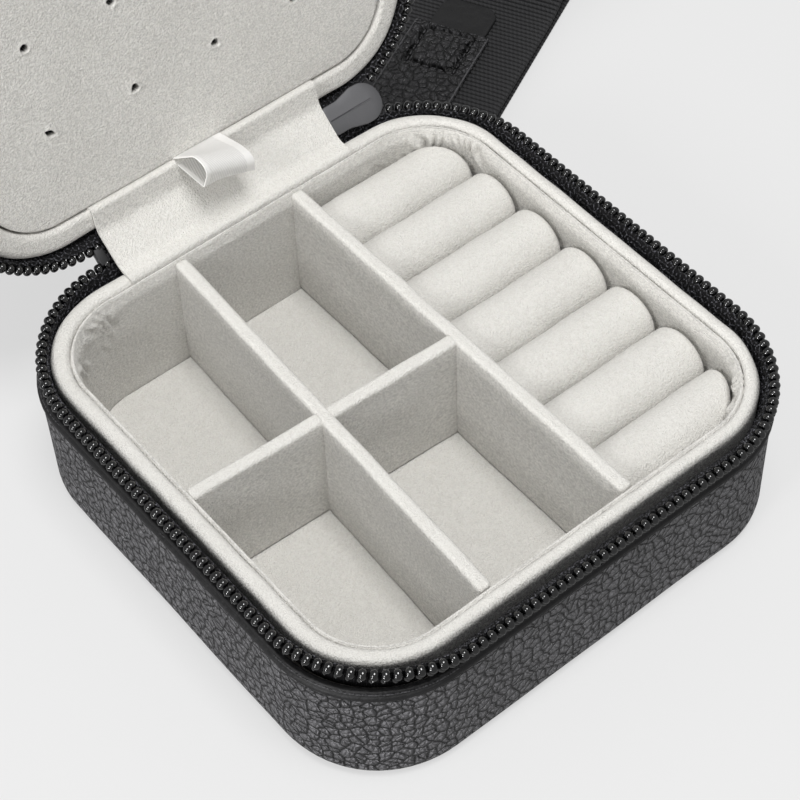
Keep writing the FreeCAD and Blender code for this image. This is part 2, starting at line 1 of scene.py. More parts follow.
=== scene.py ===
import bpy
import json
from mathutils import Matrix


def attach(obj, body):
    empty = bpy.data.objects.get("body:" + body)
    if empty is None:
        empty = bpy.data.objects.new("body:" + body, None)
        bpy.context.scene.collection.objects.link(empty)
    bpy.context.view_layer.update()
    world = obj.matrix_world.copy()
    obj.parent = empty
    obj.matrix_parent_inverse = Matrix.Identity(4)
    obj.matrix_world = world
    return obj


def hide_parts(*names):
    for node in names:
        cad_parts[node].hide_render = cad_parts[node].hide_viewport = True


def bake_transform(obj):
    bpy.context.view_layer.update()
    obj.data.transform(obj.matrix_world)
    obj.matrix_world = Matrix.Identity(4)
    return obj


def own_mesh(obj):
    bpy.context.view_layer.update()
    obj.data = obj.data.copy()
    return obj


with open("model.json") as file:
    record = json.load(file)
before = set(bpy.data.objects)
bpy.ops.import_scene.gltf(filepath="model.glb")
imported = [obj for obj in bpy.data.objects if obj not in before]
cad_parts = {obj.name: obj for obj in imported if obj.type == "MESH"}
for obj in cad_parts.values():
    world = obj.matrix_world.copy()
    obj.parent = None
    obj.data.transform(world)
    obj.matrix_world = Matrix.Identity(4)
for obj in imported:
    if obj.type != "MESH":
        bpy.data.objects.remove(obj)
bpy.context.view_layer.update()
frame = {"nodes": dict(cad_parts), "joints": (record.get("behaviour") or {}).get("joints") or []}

import json
import math

import bmesh
import bpy
import numpy as np
from bpy.props import FloatProperty, FloatVectorProperty, PointerProperty
from mathutils import Matrix, Vector

bl_info = {
    "name": "Leather jewellery case",
    "version": (1, 0, 0),
    "blender": (4, 5, 0),
    "location": "View3D > Sidebar > Jewellery case",
    "description": "Leather, velvet, zip and strap for a small zip-round jewellery case",
    "category": "Add Mesh",
}

MM = 0.001
TOUCH = 2e-6                    # points nearer than this are one point
SHARP = math.radians(55)        # edges that turn more than this stay sharp
SIDE_STEP = 2.5 * MM            # usual step along a straight side of the case
CORNER_STEPS = 18               # and usual number of steps round a corner


# Reading the frame

def node_points(node):
    """Corner points of a CAD node's mesh at rest."""
    mesh = frame["nodes"][node].data
    flat = np.empty(3 * len(mesh.vertices), dtype=np.float32)
    mesh.vertices.foreach_get("co", flat)
    return flat.reshape(-1, 3).astype(float)


HINGE = next(joint for joint in frame["joints"] if joint["name"] == "lid_hinge")
HINGE_Y, HINGE_Z = HINGE["pos_m"][1:]
OPEN_ANGLE = math.radians(-HINGE["range_deg"][0])


def about_hinge(points, angle):
    """Points turned about the lid's hinge line, a rotation about +X through that line."""
    cos, sin = math.cos(angle), math.sin(angle)
    y, z = points[..., 1] - HINGE_Y, points[..., 2] - HINGE_Z
    return np.stack([points[..., 0], HINGE_Y + y * cos - z * sin, HINGE_Z + y * sin + z * cos], axis=-1)


def opened(points):
    """Points of the lid, drawn shut, as they stand with the lid open."""
    return about_hinge(points, -OPEN_ANGLE)


class Span:
    """Lowest and highest corners of a node. A node of the lid is measured as if the lid were shut."""

    def __init__(self, node, shut=False):
        points = node_points(node)
        points = about_hinge(points, OPEN_ANGLE) if shut else points
        self.low, self.high = points.min(axis=0), points.max(axis=0)
        side = points[points[:, 0] > self.high[0] - 10 * TOUCH]
        self.side_end, self.side_foot = side[:, 1].max(), side[:, 2].min()


WALL = Span("base_leather")
EDGE = Span("base_leather_edge")
RIM = Span("base_velvet_rim")
LINER = Span("base_liner")
FLOOR = Span("floor_pad")
BED = Span("ring_bed")
COIL = Span("base_zip_coil")
TAPE = Span("base_zip_tape")
SLIDER = Span("zip_slider")
STOP = Span("zip_end_stop")
STRIP = Span("hinge_strip")
SPINE = Span("hinge_spine")
WEBBING = Span("strap_webbing")
TAB = Span("strap_tab")
LID_WALL = Span("lid_leather", shut=True)
LID_RIM = Span("lid_velvet_rim", shut=True)
PANEL = Span("earring_panel", shut=True)
RIBBON = Span("ribbon_pull", shut=True)


# Sizes of the leather

HALF = WALL.high[0]                          # half the case, leather to leather
CORNER = WALL.high[1] - WALL.side_end        # its corner radius in plan
LEATHER = 1.2 * MM                           # thickness of the leather
FOOT_ROUND = WALL.side_foot - WALL.low[2]    # round at the wall's foot
FOOT_SHARE = 0.65                            # how much of that round the leather shows
PEBBLE_RISE = 0.9 * MM                       # pebbled leather laps this far over the turned edge's foot
STITCH_RADIUS = 0.15 * MM                    # thread along the turned edge


# Sizes of the velvet

RIM_TOP = RIM.high[2]
RIM_INSET = HALF - RIM.high[0]
INSERT_SHIFT = np.array([0.3, -0.25]) * MM   # the tray's lining sits this far off the case's middle
LINER_PRESS = 0.2 * MM                       # and its cloth presses this far into the rim
LINER_INSET = HALF - LINER.high[0] - LINER_PRESS
TRAY_INSET = HALF - FLOOR.high[0] - 0.1 * MM - LINER_PRESS   # inner face of the liner
LID_RIM_INNER = HALF - PANEL.high[0] - 0.9 * MM   # inner side of the lid's rim, as an inset
RIM_ROUNDS = (1.55 * MM, 1.1 * MM)           # rounds of the base rim's top, outer and inner
LID_RIM_ROUNDS = (1.7 * MM, 1.1 * MM)
DIVIDERS = ("middle_divider", "cross_divider_left", "cross_divider_right", "ring_divider")
BOARD_ROUND = 0.8 * MM                       # round of a divider's edges
BOARD_TUCK = 0.4 * MM + LINER_PRESS + INSERT_SHIFT[0]   # its ends reach this far past the node's
BOARD_SINK = 0.25 * MM                       # and its foot this far down into the floor's pile
ROLLS = 7                                    # ring rolls
ROLL_DOME = 2.2 * MM                         # length of a roll's closed end
PANEL_ROLL = 0.7 * MM                        # radius of the earring panel's edge
PIT_DEPTH = 2.4 * MM                         # depth of an ear hole
STRIP_THICK = 0.6 * MM                       # thickness of the hinge strip
STRIP_SEAT = 0.4 * MM                        # its middle lies this far over the rims
RIBBON_THICK = 0.25 * MM


# Sizes of the zip

COIL_RADIUS = (COIL.high[2] - COIL.low[2]) / 2
COIL_SIDE = COIL.high[0] - COIL_RADIUS
COIL_BACK = COIL.high[1] - COIL_RADIUS
COIL_ROUND = COIL_BACK - COIL.side_end
COIL_Z = (COIL.high[2] + COIL.low[2]) / 2
ZIP_POINTS = 400                             # points along the zip
TAPE_FOOT = RIM.high[0] + 0.33 * MM          # tape's glued foot, from the case's middle
TAPE_LEAN = (-0.8 * MM, -0.6 * MM, 0.5 * MM, 0.5 * MM)  # outwards at the left, right, front and back
TAPE_TOP = 0.98                              # tape's top edge, as a share of the way to the coil's middle
TAPE_THICK = 0.5 * MM
TAPE_BEHIND = 0.75 * MM                      # tape's middle behind the coil's
TAPE_ENDS = (STRIP.high[0] - 0.3 * MM, STRIP.low[0] + 0.3 * MM)
TEETH_ENDS = (SLIDER.high[0] + 0.3 * MM, STRIP.low[0] - 0.9 * MM)
KNIT_SHARES = (0.4, 0.52, 0.64, 0.75, 0.86, 0.97)       # rows of the knit, up the tape
KNIT_RADIUS = 0.17 * MM
SLIDER_GAP = 0.5 * MM                        # from the slider's middle to the face of a plate
SLIDER_PLATE = 0.9 * MM                      # thickness of a plate
SLIDER_TILT = math.pi / 2 - OPEN_ANGLE / 2   # the slider lies midway between the two tapes


# Sizes of the strap

WEBBING_THICK = 1.7 * MM
WEBBING_LAY = 2.05 * MM                      # upper run's middle over the lower run's
WEBBING_LANDS = 118 * MM                     # where the upper run comes down on the lower, along the strap
WEBBING_BEND = 5 * MM                        # round of the loop's far end
WEBBING_SWEEP = 22 * MM                      # round of the upper run as it comes down
TAB_HALF = 8.2 * MM                          # half the tab's width
TAB_THICK = 1.3 * MM
TAB_LEVEL = 4.5 * MM                         # middle of the tab where it lies on the webbing
TAB_CUT = 104.3 * MM                         # its cut end, along the strap
TAB_FLAT = 83 * MM                           # where it has turned flat
TAB_WALL_END = 27 * MM                       # where it leaves the wall
TAB_WALL_Z = 13.5 * MM                       # and its middle's height there
PAD_MIDDLE = 97.6 * MM                       # middle of the box stitch, along the strap
PAD_HALF = 5.2 * MM
PAD_STITCHES = 6                             # stitches to a side of the box
FLAP_HALF = 6.2 * MM                         # half the smooth flap's width
FLAP_THICK = 0.8 * MM
FLAP_END = 113.6 * MM                        # its end, along the strap
FLAP_LOW = 3.85 * MM                         # height of its underside
FLAP_ASIDE = 0.8 * MM                        # and its middle's distance from the tab's


# The camera that fits the photo, and the floor

CAMERA_EYE = (-147.124 * MM, -190.473 * MM, 319.022 * MM)
CAMERA_RIGHT = (0.77263, -0.63435, -0.02546)
CAMERA_UP = (0.50715, 0.59258, 0.62581)
CAMERA_BACK = (-0.38189, -0.49644, 0.77956)
STAGE_REACH = 4.0                            # half the floor's width


# Sizes and colours that a user would change

def length(name, description, millimetres):
    return FloatProperty(name=name, description=description, default=millimetres * MM, unit="LENGTH",
                         precision=5)


def colour(name, description, value):
    return FloatVectorProperty(name=name, description=description, default=value, subtype="COLOR",
                               min=0, max=1)


def amount(name, description, value, unit="NONE"):
    return FloatProperty(name=name, description=description, default=value, unit=unit)


class CaseSizes(bpy.types.PropertyGroup):
    """Sizes of the case's surface detail."""
    grain: length("Leather grain", "Width of one pebble of the leather", 1.9)
    pile: length("Velvet pile", "Size of the velvet's fuzz", 0.3)
    softness: length("Velvet softness", "How far velvet pieces are from straight", 0.1)
    pucker: length("Liner pucker", "Depth of the gathers in the liner's corners", 1.0)
    tooth_pitch: length("Tooth pitch", "Step from one zip tooth to the next", 1.76)
    stitch_step: length("Stitch step", "Step from one stitch to the next along the turned edge", 1.9)
    knit_step: length("Knit step", "Step from one loop of the zip tape's knit to the next", 0.85)
    rib_pitch: length("Webbing rib", "Step from one rib of the strap to the next", 1.1)
    rib_depth: length("Webbing rib depth", "Height of the strap's ribs", 0.34)
    ribbon_rib: length("Ribbon rib", "Step of the satin ribbon's ribs", 0.5)
    hole: length("Ear hole", "Radius of an ear hole in the panel", 0.7)


class CaseColours(bpy.types.PropertyGroup):
    """Colours of the case's materials."""
    leather: colour("Leather", "Tops of the leather's pebbles", (0.208, 0.205, 0.217))
    # Crease is the dark end of painted shade: in the leather's creases and cracks, and on the velvet.
    crease: colour("Crease", "Creases between the pebbles", (0.005, 0.005, 0.0055))
    velvet: colour("Velvet", "Velvet of the tray and the lid", (0.83, 0.815, 0.775))
    velvet_shade: colour("Velvet shade", "Velvet where its pile lies the other way", (0.74, 0.72, 0.68))
    nylon: colour("Zip teeth", "Nylon of the zip's teeth", (0.0025, 0.0025, 0.003))
    tape: colour("Zip tape", "Woven zip tape", (0.0035, 0.0035, 0.004))
    metal: colour("Gunmetal", "Slider, pull and stop", (0.125, 0.125, 0.131))
    ribbon: colour("Ribbon", "Satin of the ribbon pull", (0.86, 0.85, 0.83))
    webbing: colour("Webbing", "Carrying strap", (0.0165, 0.0165, 0.0175))
    card: colour("Card", "Stiffening card inside the walls", (0.21, 0.20, 0.185))
    floor: colour("Floor", "Studio floor", (0.25, 0.25, 0.25))


class CaseStage(bpy.types.PropertyGroup):
    """Camera and light."""
    lens: amount("Lens", "Focal length on a 36 mm sensor, in millimetres", 100.97)
    sky: amount("Sky", "Strength of the even light from all round", 0.42)
    lamp: amount("Lamp", "Power of the broad lamp above", 12.4, "POWER")
    side: amount("Side lamp", "Power of the lamp at the left", 2.8, "POWER")
    low: amount("Low lamp", "Power of the low lamp at the left", 10.0, "POWER")
    glow: amount("Floor glow", "Light of the floor's own, which keeps shadows pale", 0.565)


def sizes():
    return bpy.context.scene.case_sizes


def colours():
    return bpy.context.scene.case_colours


# Lines and grids of points

def walked(line):
    """Length walked along a line of points, from 0 at its first point."""
    steps = np.linalg.norm(np.diff(line, axis=0), axis=-1)
    return np.concatenate([[0.0], np.cumsum(steps)])


def unit(vectors):
    return vectors / np.maximum(np.linalg.norm(vectors, axis=-1, keepdims=True), 1e-15)


def smoothstep(value):
    """3v^2 - 2v^3 for v held between 0 and 1."""
    held = np.clip(value, 0, 1)
    return held * held * (3 - 2 * held)


def rounded(points, radii, steps=6):
    """A flat line through points, with an arc of the given radius at each inner corner.
    An arc starts and ends radius * tan(turn / 2) from its corner."""
    points = np.array(points, dtype=float)
    parts = [points[:1]]
    for before, corner, after, radius in zip(points, points[1:], points[2:], radii):
        into, out = unit(corner - before), unit(after - corner)
        turn = math.atan2(into[0] * out[1] - into[1] * out[0], into @ out)
        start = corner - into * radius * math.tan(abs(turn) / 2)
        inward = np.array([-into[1], into[0]]) * math.copysign(radius, turn)
        angle = np.linspace(0, turn, steps + 1)[:, None]
        spoke = -inward * np.cos(angle) + np.array([inward[1], -inward[0]]) * np.sin(angle)
        parts.append(start + inward + spoke)
    parts.append(points[-1:])
    return np.concatenate(parts)


def at_lengths(line, spots):
    """Points of a line at given lengths along it."""
    along = walked(line)
    return np.stack([np.interp(spots, along, line[:, k]) for k in range(line.shape[1])], axis=-1)


def filled(line, step):
    """The same line with points added so that none are more than about a step apart."""
    along = walked(line)
    steps = np.linspace(0, along[-1], max(2, int(along[-1] / step) + 1))
    return at_lengths(line, np.unique(np.concatenate([along, steps]).round(9)))


def even(line, count):
    """The line cut into evenly spaced points."""
    return at_lengths(line, np.linspace(0, walked(line)[-1], count))


def waver(points, size, seed):
    """Smooth unevenness from about -1 to 1: the mean of sines along directions drawn from the seed."""
    waves = 7
    draw = np.random.default_rng(seed)
    directions = unit(draw.normal(size=(waves, 3))) * (2 * math.pi / size)
    phases = draw.uniform(0, 2 * math.pi, waves)
    return 1.5 * np.sin(points @ directions.T + phases).mean(axis=-1)


def heading(line):
    """Unit directions along a line of points."""
    return unit(np.gradient(line, axis=0))


def raised(flat, height):
    """Points in plan with their heights."""
    return np.concatenate([flat, np.broadcast_to(height, flat.shape[:-1] + (1,))], axis=-1)


def normals_of(grid):
    """Unit normals of a grid: the cross product of its two directions at each point."""
    return unit(np.cross(np.gradient(grid, axis=1), np.gradient(grid, axis=0)))


def walk_round(x0, x1, y0, y1, radius, side_step=SIDE_STEP, corner_steps=CORNER_STEPS):
    """A walk clockwise round a rounded rectangle, from the middle of its back side.
    The outline at an inset d is centre + (radius - d) * outward: sides run straight, corners turn."""
    right, left, back, front = x1 - radius, x0 + radius, y1 - radius, y0 + radius
    middle = ((x0 + x1) / 2, back)
    stops = [(middle, 90), ((right, back), 90), ((right, back), 0), ((right, front), 0),
             ((right, front), -90), ((left, front), -90), ((left, front), -180), ((left, back), -180),
             ((left, back), -270), (middle, -270)]
    centres, angles = [], []
    for (here, turn), (there, next_turn) in zip(stops, stops[1:]):
        run = math.dist(here, there)
        halves = 1 if middle in (here, there) else 2
        count = corner_steps if turn != next_turn else halves * max(1, int(run / halves / side_step))
        share = np.arange(count) / count
        centres.append(np.array(here) + np.outer(share, np.subtract(there, here)))
        angles.append(turn + (next_turn - turn) * share)
    centres = np.concatenate(centres + [np.array([middle])])
    angles = np.radians(np.concatenate(angles + [[-270]]))
    return centres, np.stack([np.cos(angles), np.sin(angles)], axis=-1), radius


def case_walk(side_step=SIDE_STEP, corner_steps=CORNER_STEPS):
    """A walk round the case's own outline."""
    return walk_round(-HALF, HALF, -HALF, HALF, CORNER, side_step, corner_steps)


def swept(profile, walk):
    """A profile of (inset, height) points carried round a walk."""
    centres, outward, radius = walk
    flat = centres + (radius - profile[:, :1, None]) * outward
    return raised(flat, profile[:, 1:, None])


def cap(ring, steps=8):
    """A closed ring filled in by copies of itself drawn towards its middle."""
    middle = ring[:-1].mean(axis=0)
    return middle + (ring - middle) * np.linspace(1, 0, steps + 1)[:, None, None]


def cap_to(ring, line, steps=4):
    """A ring filled in by copies of itself drawn towards points on a line inside it."""
    return line + (ring - line) * np.linspace(1, 0, steps + 1)[:, None, None]


def closed(grid, steps):
    """A tube of points with both ends filled in."""
    return [grid, cap(grid[0], steps), cap(grid[-1], steps)]


def joined(top, under):
    """Two sheets with the four edges between them."""
    edges = [np.stack([top[k], under[k]]) for k in (0, -1)]
    edges += [np.stack([top[:, k], under[:, k]]) for k in (0, -1)]
    return [top, under] + edges


def slab(grid, thickness):
    """A sheet given a thickness: half of it each way along the normals."""
    offset = normals_of(grid) * thickness / 2
    return joined(grid + offset, grid - offset)


def across_of(along):
    """The direction square to another in plan."""
    return np.array([-along[1], along[0]])


def turn_over(grids):
    """The same grids, in the lid: their heights are mirrored about the shut line, and the lid is opened."""
    over = []
    for grid in grids:
        mirrored = grid.copy()
        mirrored[..., 2] = 2 * HINGE_Z - mirrored[..., 2]
        over.append(opened(mirrored))
    return over


# Meshes and pieces

def surface_lengths(grid):
    """Lengths along a grid's columns and rows, in metres, for patterns that follow the surface. A grid that
    closes to a point is measured across its own plane instead."""
    if np.ptp(grid[-1], axis=0).max() < TOUCH:
        flat = grid - grid[-1, 0]
        plane = np.linalg.svd(flat.reshape(-1, 3), full_matrices=False)[2][:2]
        return flat @ plane.T
    across, along = walked(grid[len(grid) // 2]), walked(grid[:, grid.shape[1] // 2])
    return np.stack(np.meshgrid(across, along), axis=-1)


def quads_of(rows, columns, start):
    """Corner numbers of a grid's faces."""
    index = start + np.arange(rows * columns).reshape(rows, columns)
    return np.stack([index[:-1, :-1], index[:-1, 1:], index[1:, 1:], index[1:, :-1]], axis=-1).reshape(-1, 4)


def finish_mesh(mesh):
    """Merges seams and poles, turns faces outwards, smooths all but sharp corners, and notes how upright each
    point's surface is."""
    work = bmesh.new()
    work.from_mesh(mesh)
    bmesh.ops.remove_doubles(work, verts=work.verts, dist=TOUCH)
    bmesh.ops.recalc_face_normals(work, faces=work.faces)
    work.to_mesh(mesh)
    work.free()
    mesh.shade_smooth()
    mesh.set_sharp_from_angle(angle=SHARP)
    normals = np.empty(3 * len(mesh.vertices), dtype=np.float32)
    mesh.vertex_normals.foreach_get("vector", normals)
    mesh.attributes.new("upright", "FLOAT", "POINT").data.foreach_set("value", 1 - np.abs(normals[2::3]))
    return mesh


def mesh_of(name, grids, shades=()):
    """One mesh from grids of points, with the lengths along each grid as its UV map. Shades, one value to a
    point, are kept for materials that darken hollows. Grids after the last of the shades have none."""
    faces, start = [], 0
    for grid in grids:
        faces.append(quads_of(*grid.shape[:2], start))
        start += grid.shape[0] * grid.shape[1]
    points = np.concatenate([grid.reshape(-1, 3) for grid in grids])
    lengths = np.concatenate([surface_lengths(grid).reshape(-1, 2) for grid in grids])
    mesh = bpy.data.meshes.new(name)
    mesh.from_pydata(points.tolist(), [], np.concatenate(faces).tolist())
    corners = np.empty(len(mesh.loops), dtype=np.int32)
    mesh.loops.foreach_get("vertex_index", corners)
    layer = mesh.uv_layers.new(name="surface")
    layer.data.foreach_set("uv", lengths[corners].ravel().astype(np.float32))
    shade = np.zeros(len(points), dtype=np.float32)
    for first, values in zip(np.cumsum([0] + [grid[..., 0].size for grid in grids]), shades):
        shade[first:first + values.size] = values.ravel()
    mesh.attributes.new("shade", "FLOAT", "POINT").data.foreach_set("value", shade)
    return finish_mesh(mesh)


def copies_of(name, shapes, places, frames):
    """One mesh of small closed tubes repeated at places. A shape is rings of points in its own directions,
    and a frame holds those three directions in the case."""
    points, faces, start = [], [], 0
    for shape in shapes:
        rings, around = shape.shape[:2]
        count = rings * around
        points.append((places[:, None] + shape.reshape(-1, 3) @ frames).reshape(-1, 3))
        index = np.arange(count).reshape(rings, around)
        beside = np.roll(index, -1, axis=1)
        sides = np.stack([index[:-1], beside[:-1], beside[1:], index[1:]], axis=-1).reshape(-1, 4)
        shifts = start + count * np.arange(len(places))[:, None]
        faces += (sides.ravel() + shifts).reshape(-1, 4).tolist()
        faces += (index[0][::-1] + shifts).tolist() + (index[-1] + shifts).tolist()
        start += count * len(places)
    mesh = bpy.data.meshes.new(name)
    mesh.from_pydata(np.concatenate(points).tolist(), [], faces)
    return finish_mesh(mesh)


def placed(name, mesh, finish, body=None, nodes=()):
    """The mesh as an object at the origin, with its finish, its body and the CAD nodes that it stands for."""
    piece = bpy.data.objects.new(name, mesh)
    bpy.context.scene.collection.objects.link(piece)
    mesh.materials.append(finish_named(finish))
    if body:
        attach(piece, body)
    if nodes:
        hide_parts(*nodes)
    return piece


def built(name, grids, finish, body=None, nodes=(), shades=()):
    """A piece whose mesh is made from grids of points."""
    return placed(name, mesh_of(name, grids, shades), finish, body, nodes)


def repeated(name, shapes, spots, finish, body, nodes=()):
    """A piece whose mesh is small shapes repeated at places, each with its own directions."""
    return placed(name, copies_of(name, shapes, *spots), finish, body, nodes)


def velvet(name, grids, node, body="base", shades=()):
    """A velvet piece that stands for one CAD node."""
    return built(name, grids, "white_velvet_pile", body, [node], shades)


def stacked(heights, widths, depths, shifts, around):
    """Oval rings stacked up a height, each shifted along the first direction."""
    turn = np.arange(around) * 2 * math.pi / around
    along = np.array(shifts)[:, None] + np.outer(widths, np.cos(turn))
    out = np.outer(depths, np.sin(turn))
    return np.stack([along, out, np.broadcast_to(np.array(heights)[:, None], out.shape)], axis=-1)


def tooth_shapes():
    """A turn of the zip's coil: a head with a flattened end, and a leg that slants down and narrows. Each is
    given in millimetres, ring by ring: heights, widths, depths and shifts."""
    head = stacked([-0.75, -0.5, -0.1, 0.4, 0.8, 1.02, 1.14, 1.2],
                   [0.28, 0.58, 0.78, 0.82, 0.74, 0.58, 0.38, 0.1],
                   [0.32, 0.68, 0.92, 0.98, 0.88, 0.70, 0.45, 0.12], [0] * 8, 12)
    leg = stacked([-1.75, -1.5, -1.0, -0.45, 0.1, 0.5], [0.10, 0.28, 0.46, 0.54, 0.52, 0.3],
                  [0.14, 0.40, 0.66, 0.78, 0.74, 0.5], [0.90, 0.86, 0.72, 0.50, 0.22, 0.0], 8)
    return [head * MM, (leg + [0, 0.42, 0]) * MM]


def stitch_shape(reach, radius):
    """A short thread: rings along it, thinner at both ends."""
    along = np.array([-0.5, -0.40, 0.0, 0.40, 0.5]) * reach
    thick = np.array([0.3, 0.85, 1.0, 0.85, 0.3]) * radius
    turn = np.arange(6) * math.pi / 3
    ring = np.stack([np.outer(thick, np.cos(turn)), np.outer(thick, np.sin(turn))], axis=-1)
    return np.concatenate([np.broadcast_to(along[:, None, None], ring.shape[:2] + (1,)), ring], axis=-1)


# Materials

class Wire:
    """A socket of a material. Arithmetic on it adds Math nodes."""

    def __init__(self, finish, socket):
        self.finish = finish
        self.socket = socket

    def maths(self, operation, first, second=0.0):
        return self.finish.node("ShaderNodeMath", {"operation": operation}, {0: first, 1: second})

    def __add__(self, other):
        return self.maths("ADD", self, other)

    def __radd__(self, other):
        return self.maths("ADD", other, self)

    def __sub__(self, other):
        return self.maths("SUBTRACT", self, other)

    def __rsub__(self, other):
        return self.maths("SUBTRACT", other, self)

    def __mul__(self, other):
        return self.maths("MULTIPLY", self, other)

    def __rmul__(self, other):
        return self.maths("MULTIPLY", other, self)

    def sine(self):
        return self.maths("SINE", self)

    def size(self):
        return self.maths("ABSOLUTE", self)


class Finish:
    """A material, the nodes that it is made of, and the sockets of its shader."""

    def __init__(self, name, constants):
        self.material = bpy.data.materials.new(name)
        self.material.use_nodes = True
        self.tree = self.material.node_tree
        self.shader = self.tree.nodes["Principled BSDF"]
        for socket, value in constants.items():
            self.shader.inputs[socket].default_value = value

    def node(self, kind, settings, inputs, output=0):
        """A node of one kind: its settings first, then the values or links of its sockets."""
        made = self.tree.nodes.new(kind)
        for setting, value in settings.items():
            setattr(made, setting, value)
        for socket, value in inputs.items():
            self.feed(made.inputs[socket], value)
        return Wire(self, made.outputs[output])

    def feed(self, socket, value):
        if isinstance(value, Wire):
            self.tree.links.new(value.socket, socket)
        else:
            socket.default_value = value

    def give(self, **values):
        """Links wires to the shader: base_color, roughness and so on."""
        for name, value in values.items():
            self.feed(self.shader.inputs[name.replace("_", " ").title()], value)

    def place(self):
        return self.node("ShaderNodeTexCoord", {}, {}, "Object")

    def sheet(self):
        """Lengths across and along the surface, in metres, as one vector."""
        return self.node("ShaderNodeUVMap", {"uv_map": "surface"}, {})

    def surface(self):
        """Lengths across and along the surface, in metres, one by one."""
        lengths = self.sheet()
        return [self.node("ShaderNodeSeparateXYZ", {}, {0: lengths}, k) for k in (0, 1)]

    def marked(self, name):
        """A value that the mesh holds at its points."""
        return self.node("ShaderNodeAttribute", {"attribute_name": name}, {}, "Fac")

    def lit(self):
        """1 on open surfaces, down to 0 in the hollows that the mesh marks."""
        return 1 - self.marked("shade")

    def stretched(self, at, x, y, z):
        """Places scaled along the axes, which draws a pattern out where the scale is small."""
        return self.node("ShaderNodeVectorMath", {"operation": "MULTIPLY"}, {0: at, 1: (x, y, z)})

    def noise(self, at, size, detail=2.0, output=0):
        inputs = {"Vector": at, "Scale": 1 / size, "Detail": detail, "Roughness": 0.6}
        return self.node("ShaderNodeTexNoise", {}, inputs, output)

    def cells(self, at, size):
        """Distance to the nearest border between flat cells of about this size."""
        inputs = {"Vector": at, "Scale": 1 / size, "Randomness": 0.95}
        settings = {"feature": "DISTANCE_TO_EDGE", "voronoi_dimensions": "2D"}
        return self.node("ShaderNodeTexVoronoi", settings, inputs)

    def shifted(self, at, size, reach):
        """Places pushed about by a noise, so that borders wander."""
        drift = self.noise(at, size, 2.0, "Color")
        scaled = {0: drift, 1: (reach, reach, reach), 2: at}
        return self.node("ShaderNodeVectorMath", {"operation": "MULTIPLY_ADD"}, scaled)

    def ramp(self, value, low, high):
        """0 below low, 1 above high, smooth between."""
        inputs = {"Value": value, "From Min": low, "From Max": high}
        return self.node("ShaderNodeMapRange", {"interpolation_type": "SMOOTHSTEP"}, inputs)

    def mix(self, first, second, share):
        return self.node("ShaderNodeMix", {"data_type": "RGBA"}, {0: share, 6: first, 7: second}, 2)

    def tint(self, value, dark, pale, share):
        """A colour property between two strengths of itself."""
        return self.mix(solid(value, dark), solid(value, pale), share)

    def bump(self, height, depth, strength=1.0):
        inputs = {"Height": height, "Distance": depth, "Strength": strength}
        self.give(normal=self.node("ShaderNodeBump", {}, inputs))


def solid(value, share=1.0):
    """A colour property, scaled, as a colour with full alpha."""
    return tuple(min(1.0, share * part) for part in value) + (1.0,)


def leather_finish():
    """Pebbled leather: swollen cells between thin creases, each broken by finer cracks, with a low sheen.
    Painted shade darkens the creases and cracks."""
    grain = sizes().grain
    finish = Finish("pebbled_leather", {"Specular IOR Level": 0.45})
    at = finish.shifted(finish.sheet(), 1.6 * grain, 0.8 * grain)
    border = finish.cells(at, grain)
    inner = finish.cells(finish.stretched(at, 1.0, 0.7, 1.0), 0.5 * grain)
    crease, crack = finish.ramp(border, 0.035, 0.14), finish.ramp(inner, 0.01, 0.1)
    swell, rise = finish.ramp(border, 0.0, 0.4), finish.ramp(inner, 0.0, 0.45)
    pore = finish.noise(at, 0.12 * grain, 3.0)
    patch = finish.noise(at, 5 * grain, 2.0)
    height = 0.3 * crease + 0.7 * swell + 0.4 * rise + 0.1 * crack
    # Painted shade: dark in the creases and cracks, and where the mesh marks shade.
    tone = (0.03 + 0.97 * crease) * (0.35 + 0.65 * crack) * (0.7 + 0.6 * patch)
    tone = tone * (0.75 + 0.5 * pore) * finish.lit()
    finish.give(base_color=finish.mix(solid(colours().crease), solid(colours().leather), tone),
                roughness=0.47 - 0.14 * swell + 0.12 * pore)
    finish.bump(height + 0.06 * pore, 1.4 * MM, 1.0)
    return finish.material


def edge_finish():
    """The smooth turned edge: fine pores, lengthwise rubbing and small creases."""
    finish = Finish("turned_leather", {"Specular IOR Level": 0.4})
    at = finish.place()
    pore = finish.noise(at, 0.35 * MM, 4.0)
    rub = finish.ramp(finish.noise(at, 3 * MM, 3.0), 0.3, 0.7)
    tone = 0.15 + 0.4 * rub + 0.35 * (pore - 0.5)
    # The colour runs far darker than the pebbled leather's: partly the smooth leather's own tone, and on the
    # turned edges partly painted shade in the recess under the coil.
    finish.give(base_color=finish.mix(solid(colours().crease), solid(colours().leather, 0.07), tone),
                roughness=0.42 + 0.2 * pore)
    finish.bump(0.5 * pore + rub, 0.16 * MM, 0.8)
    return finish.material


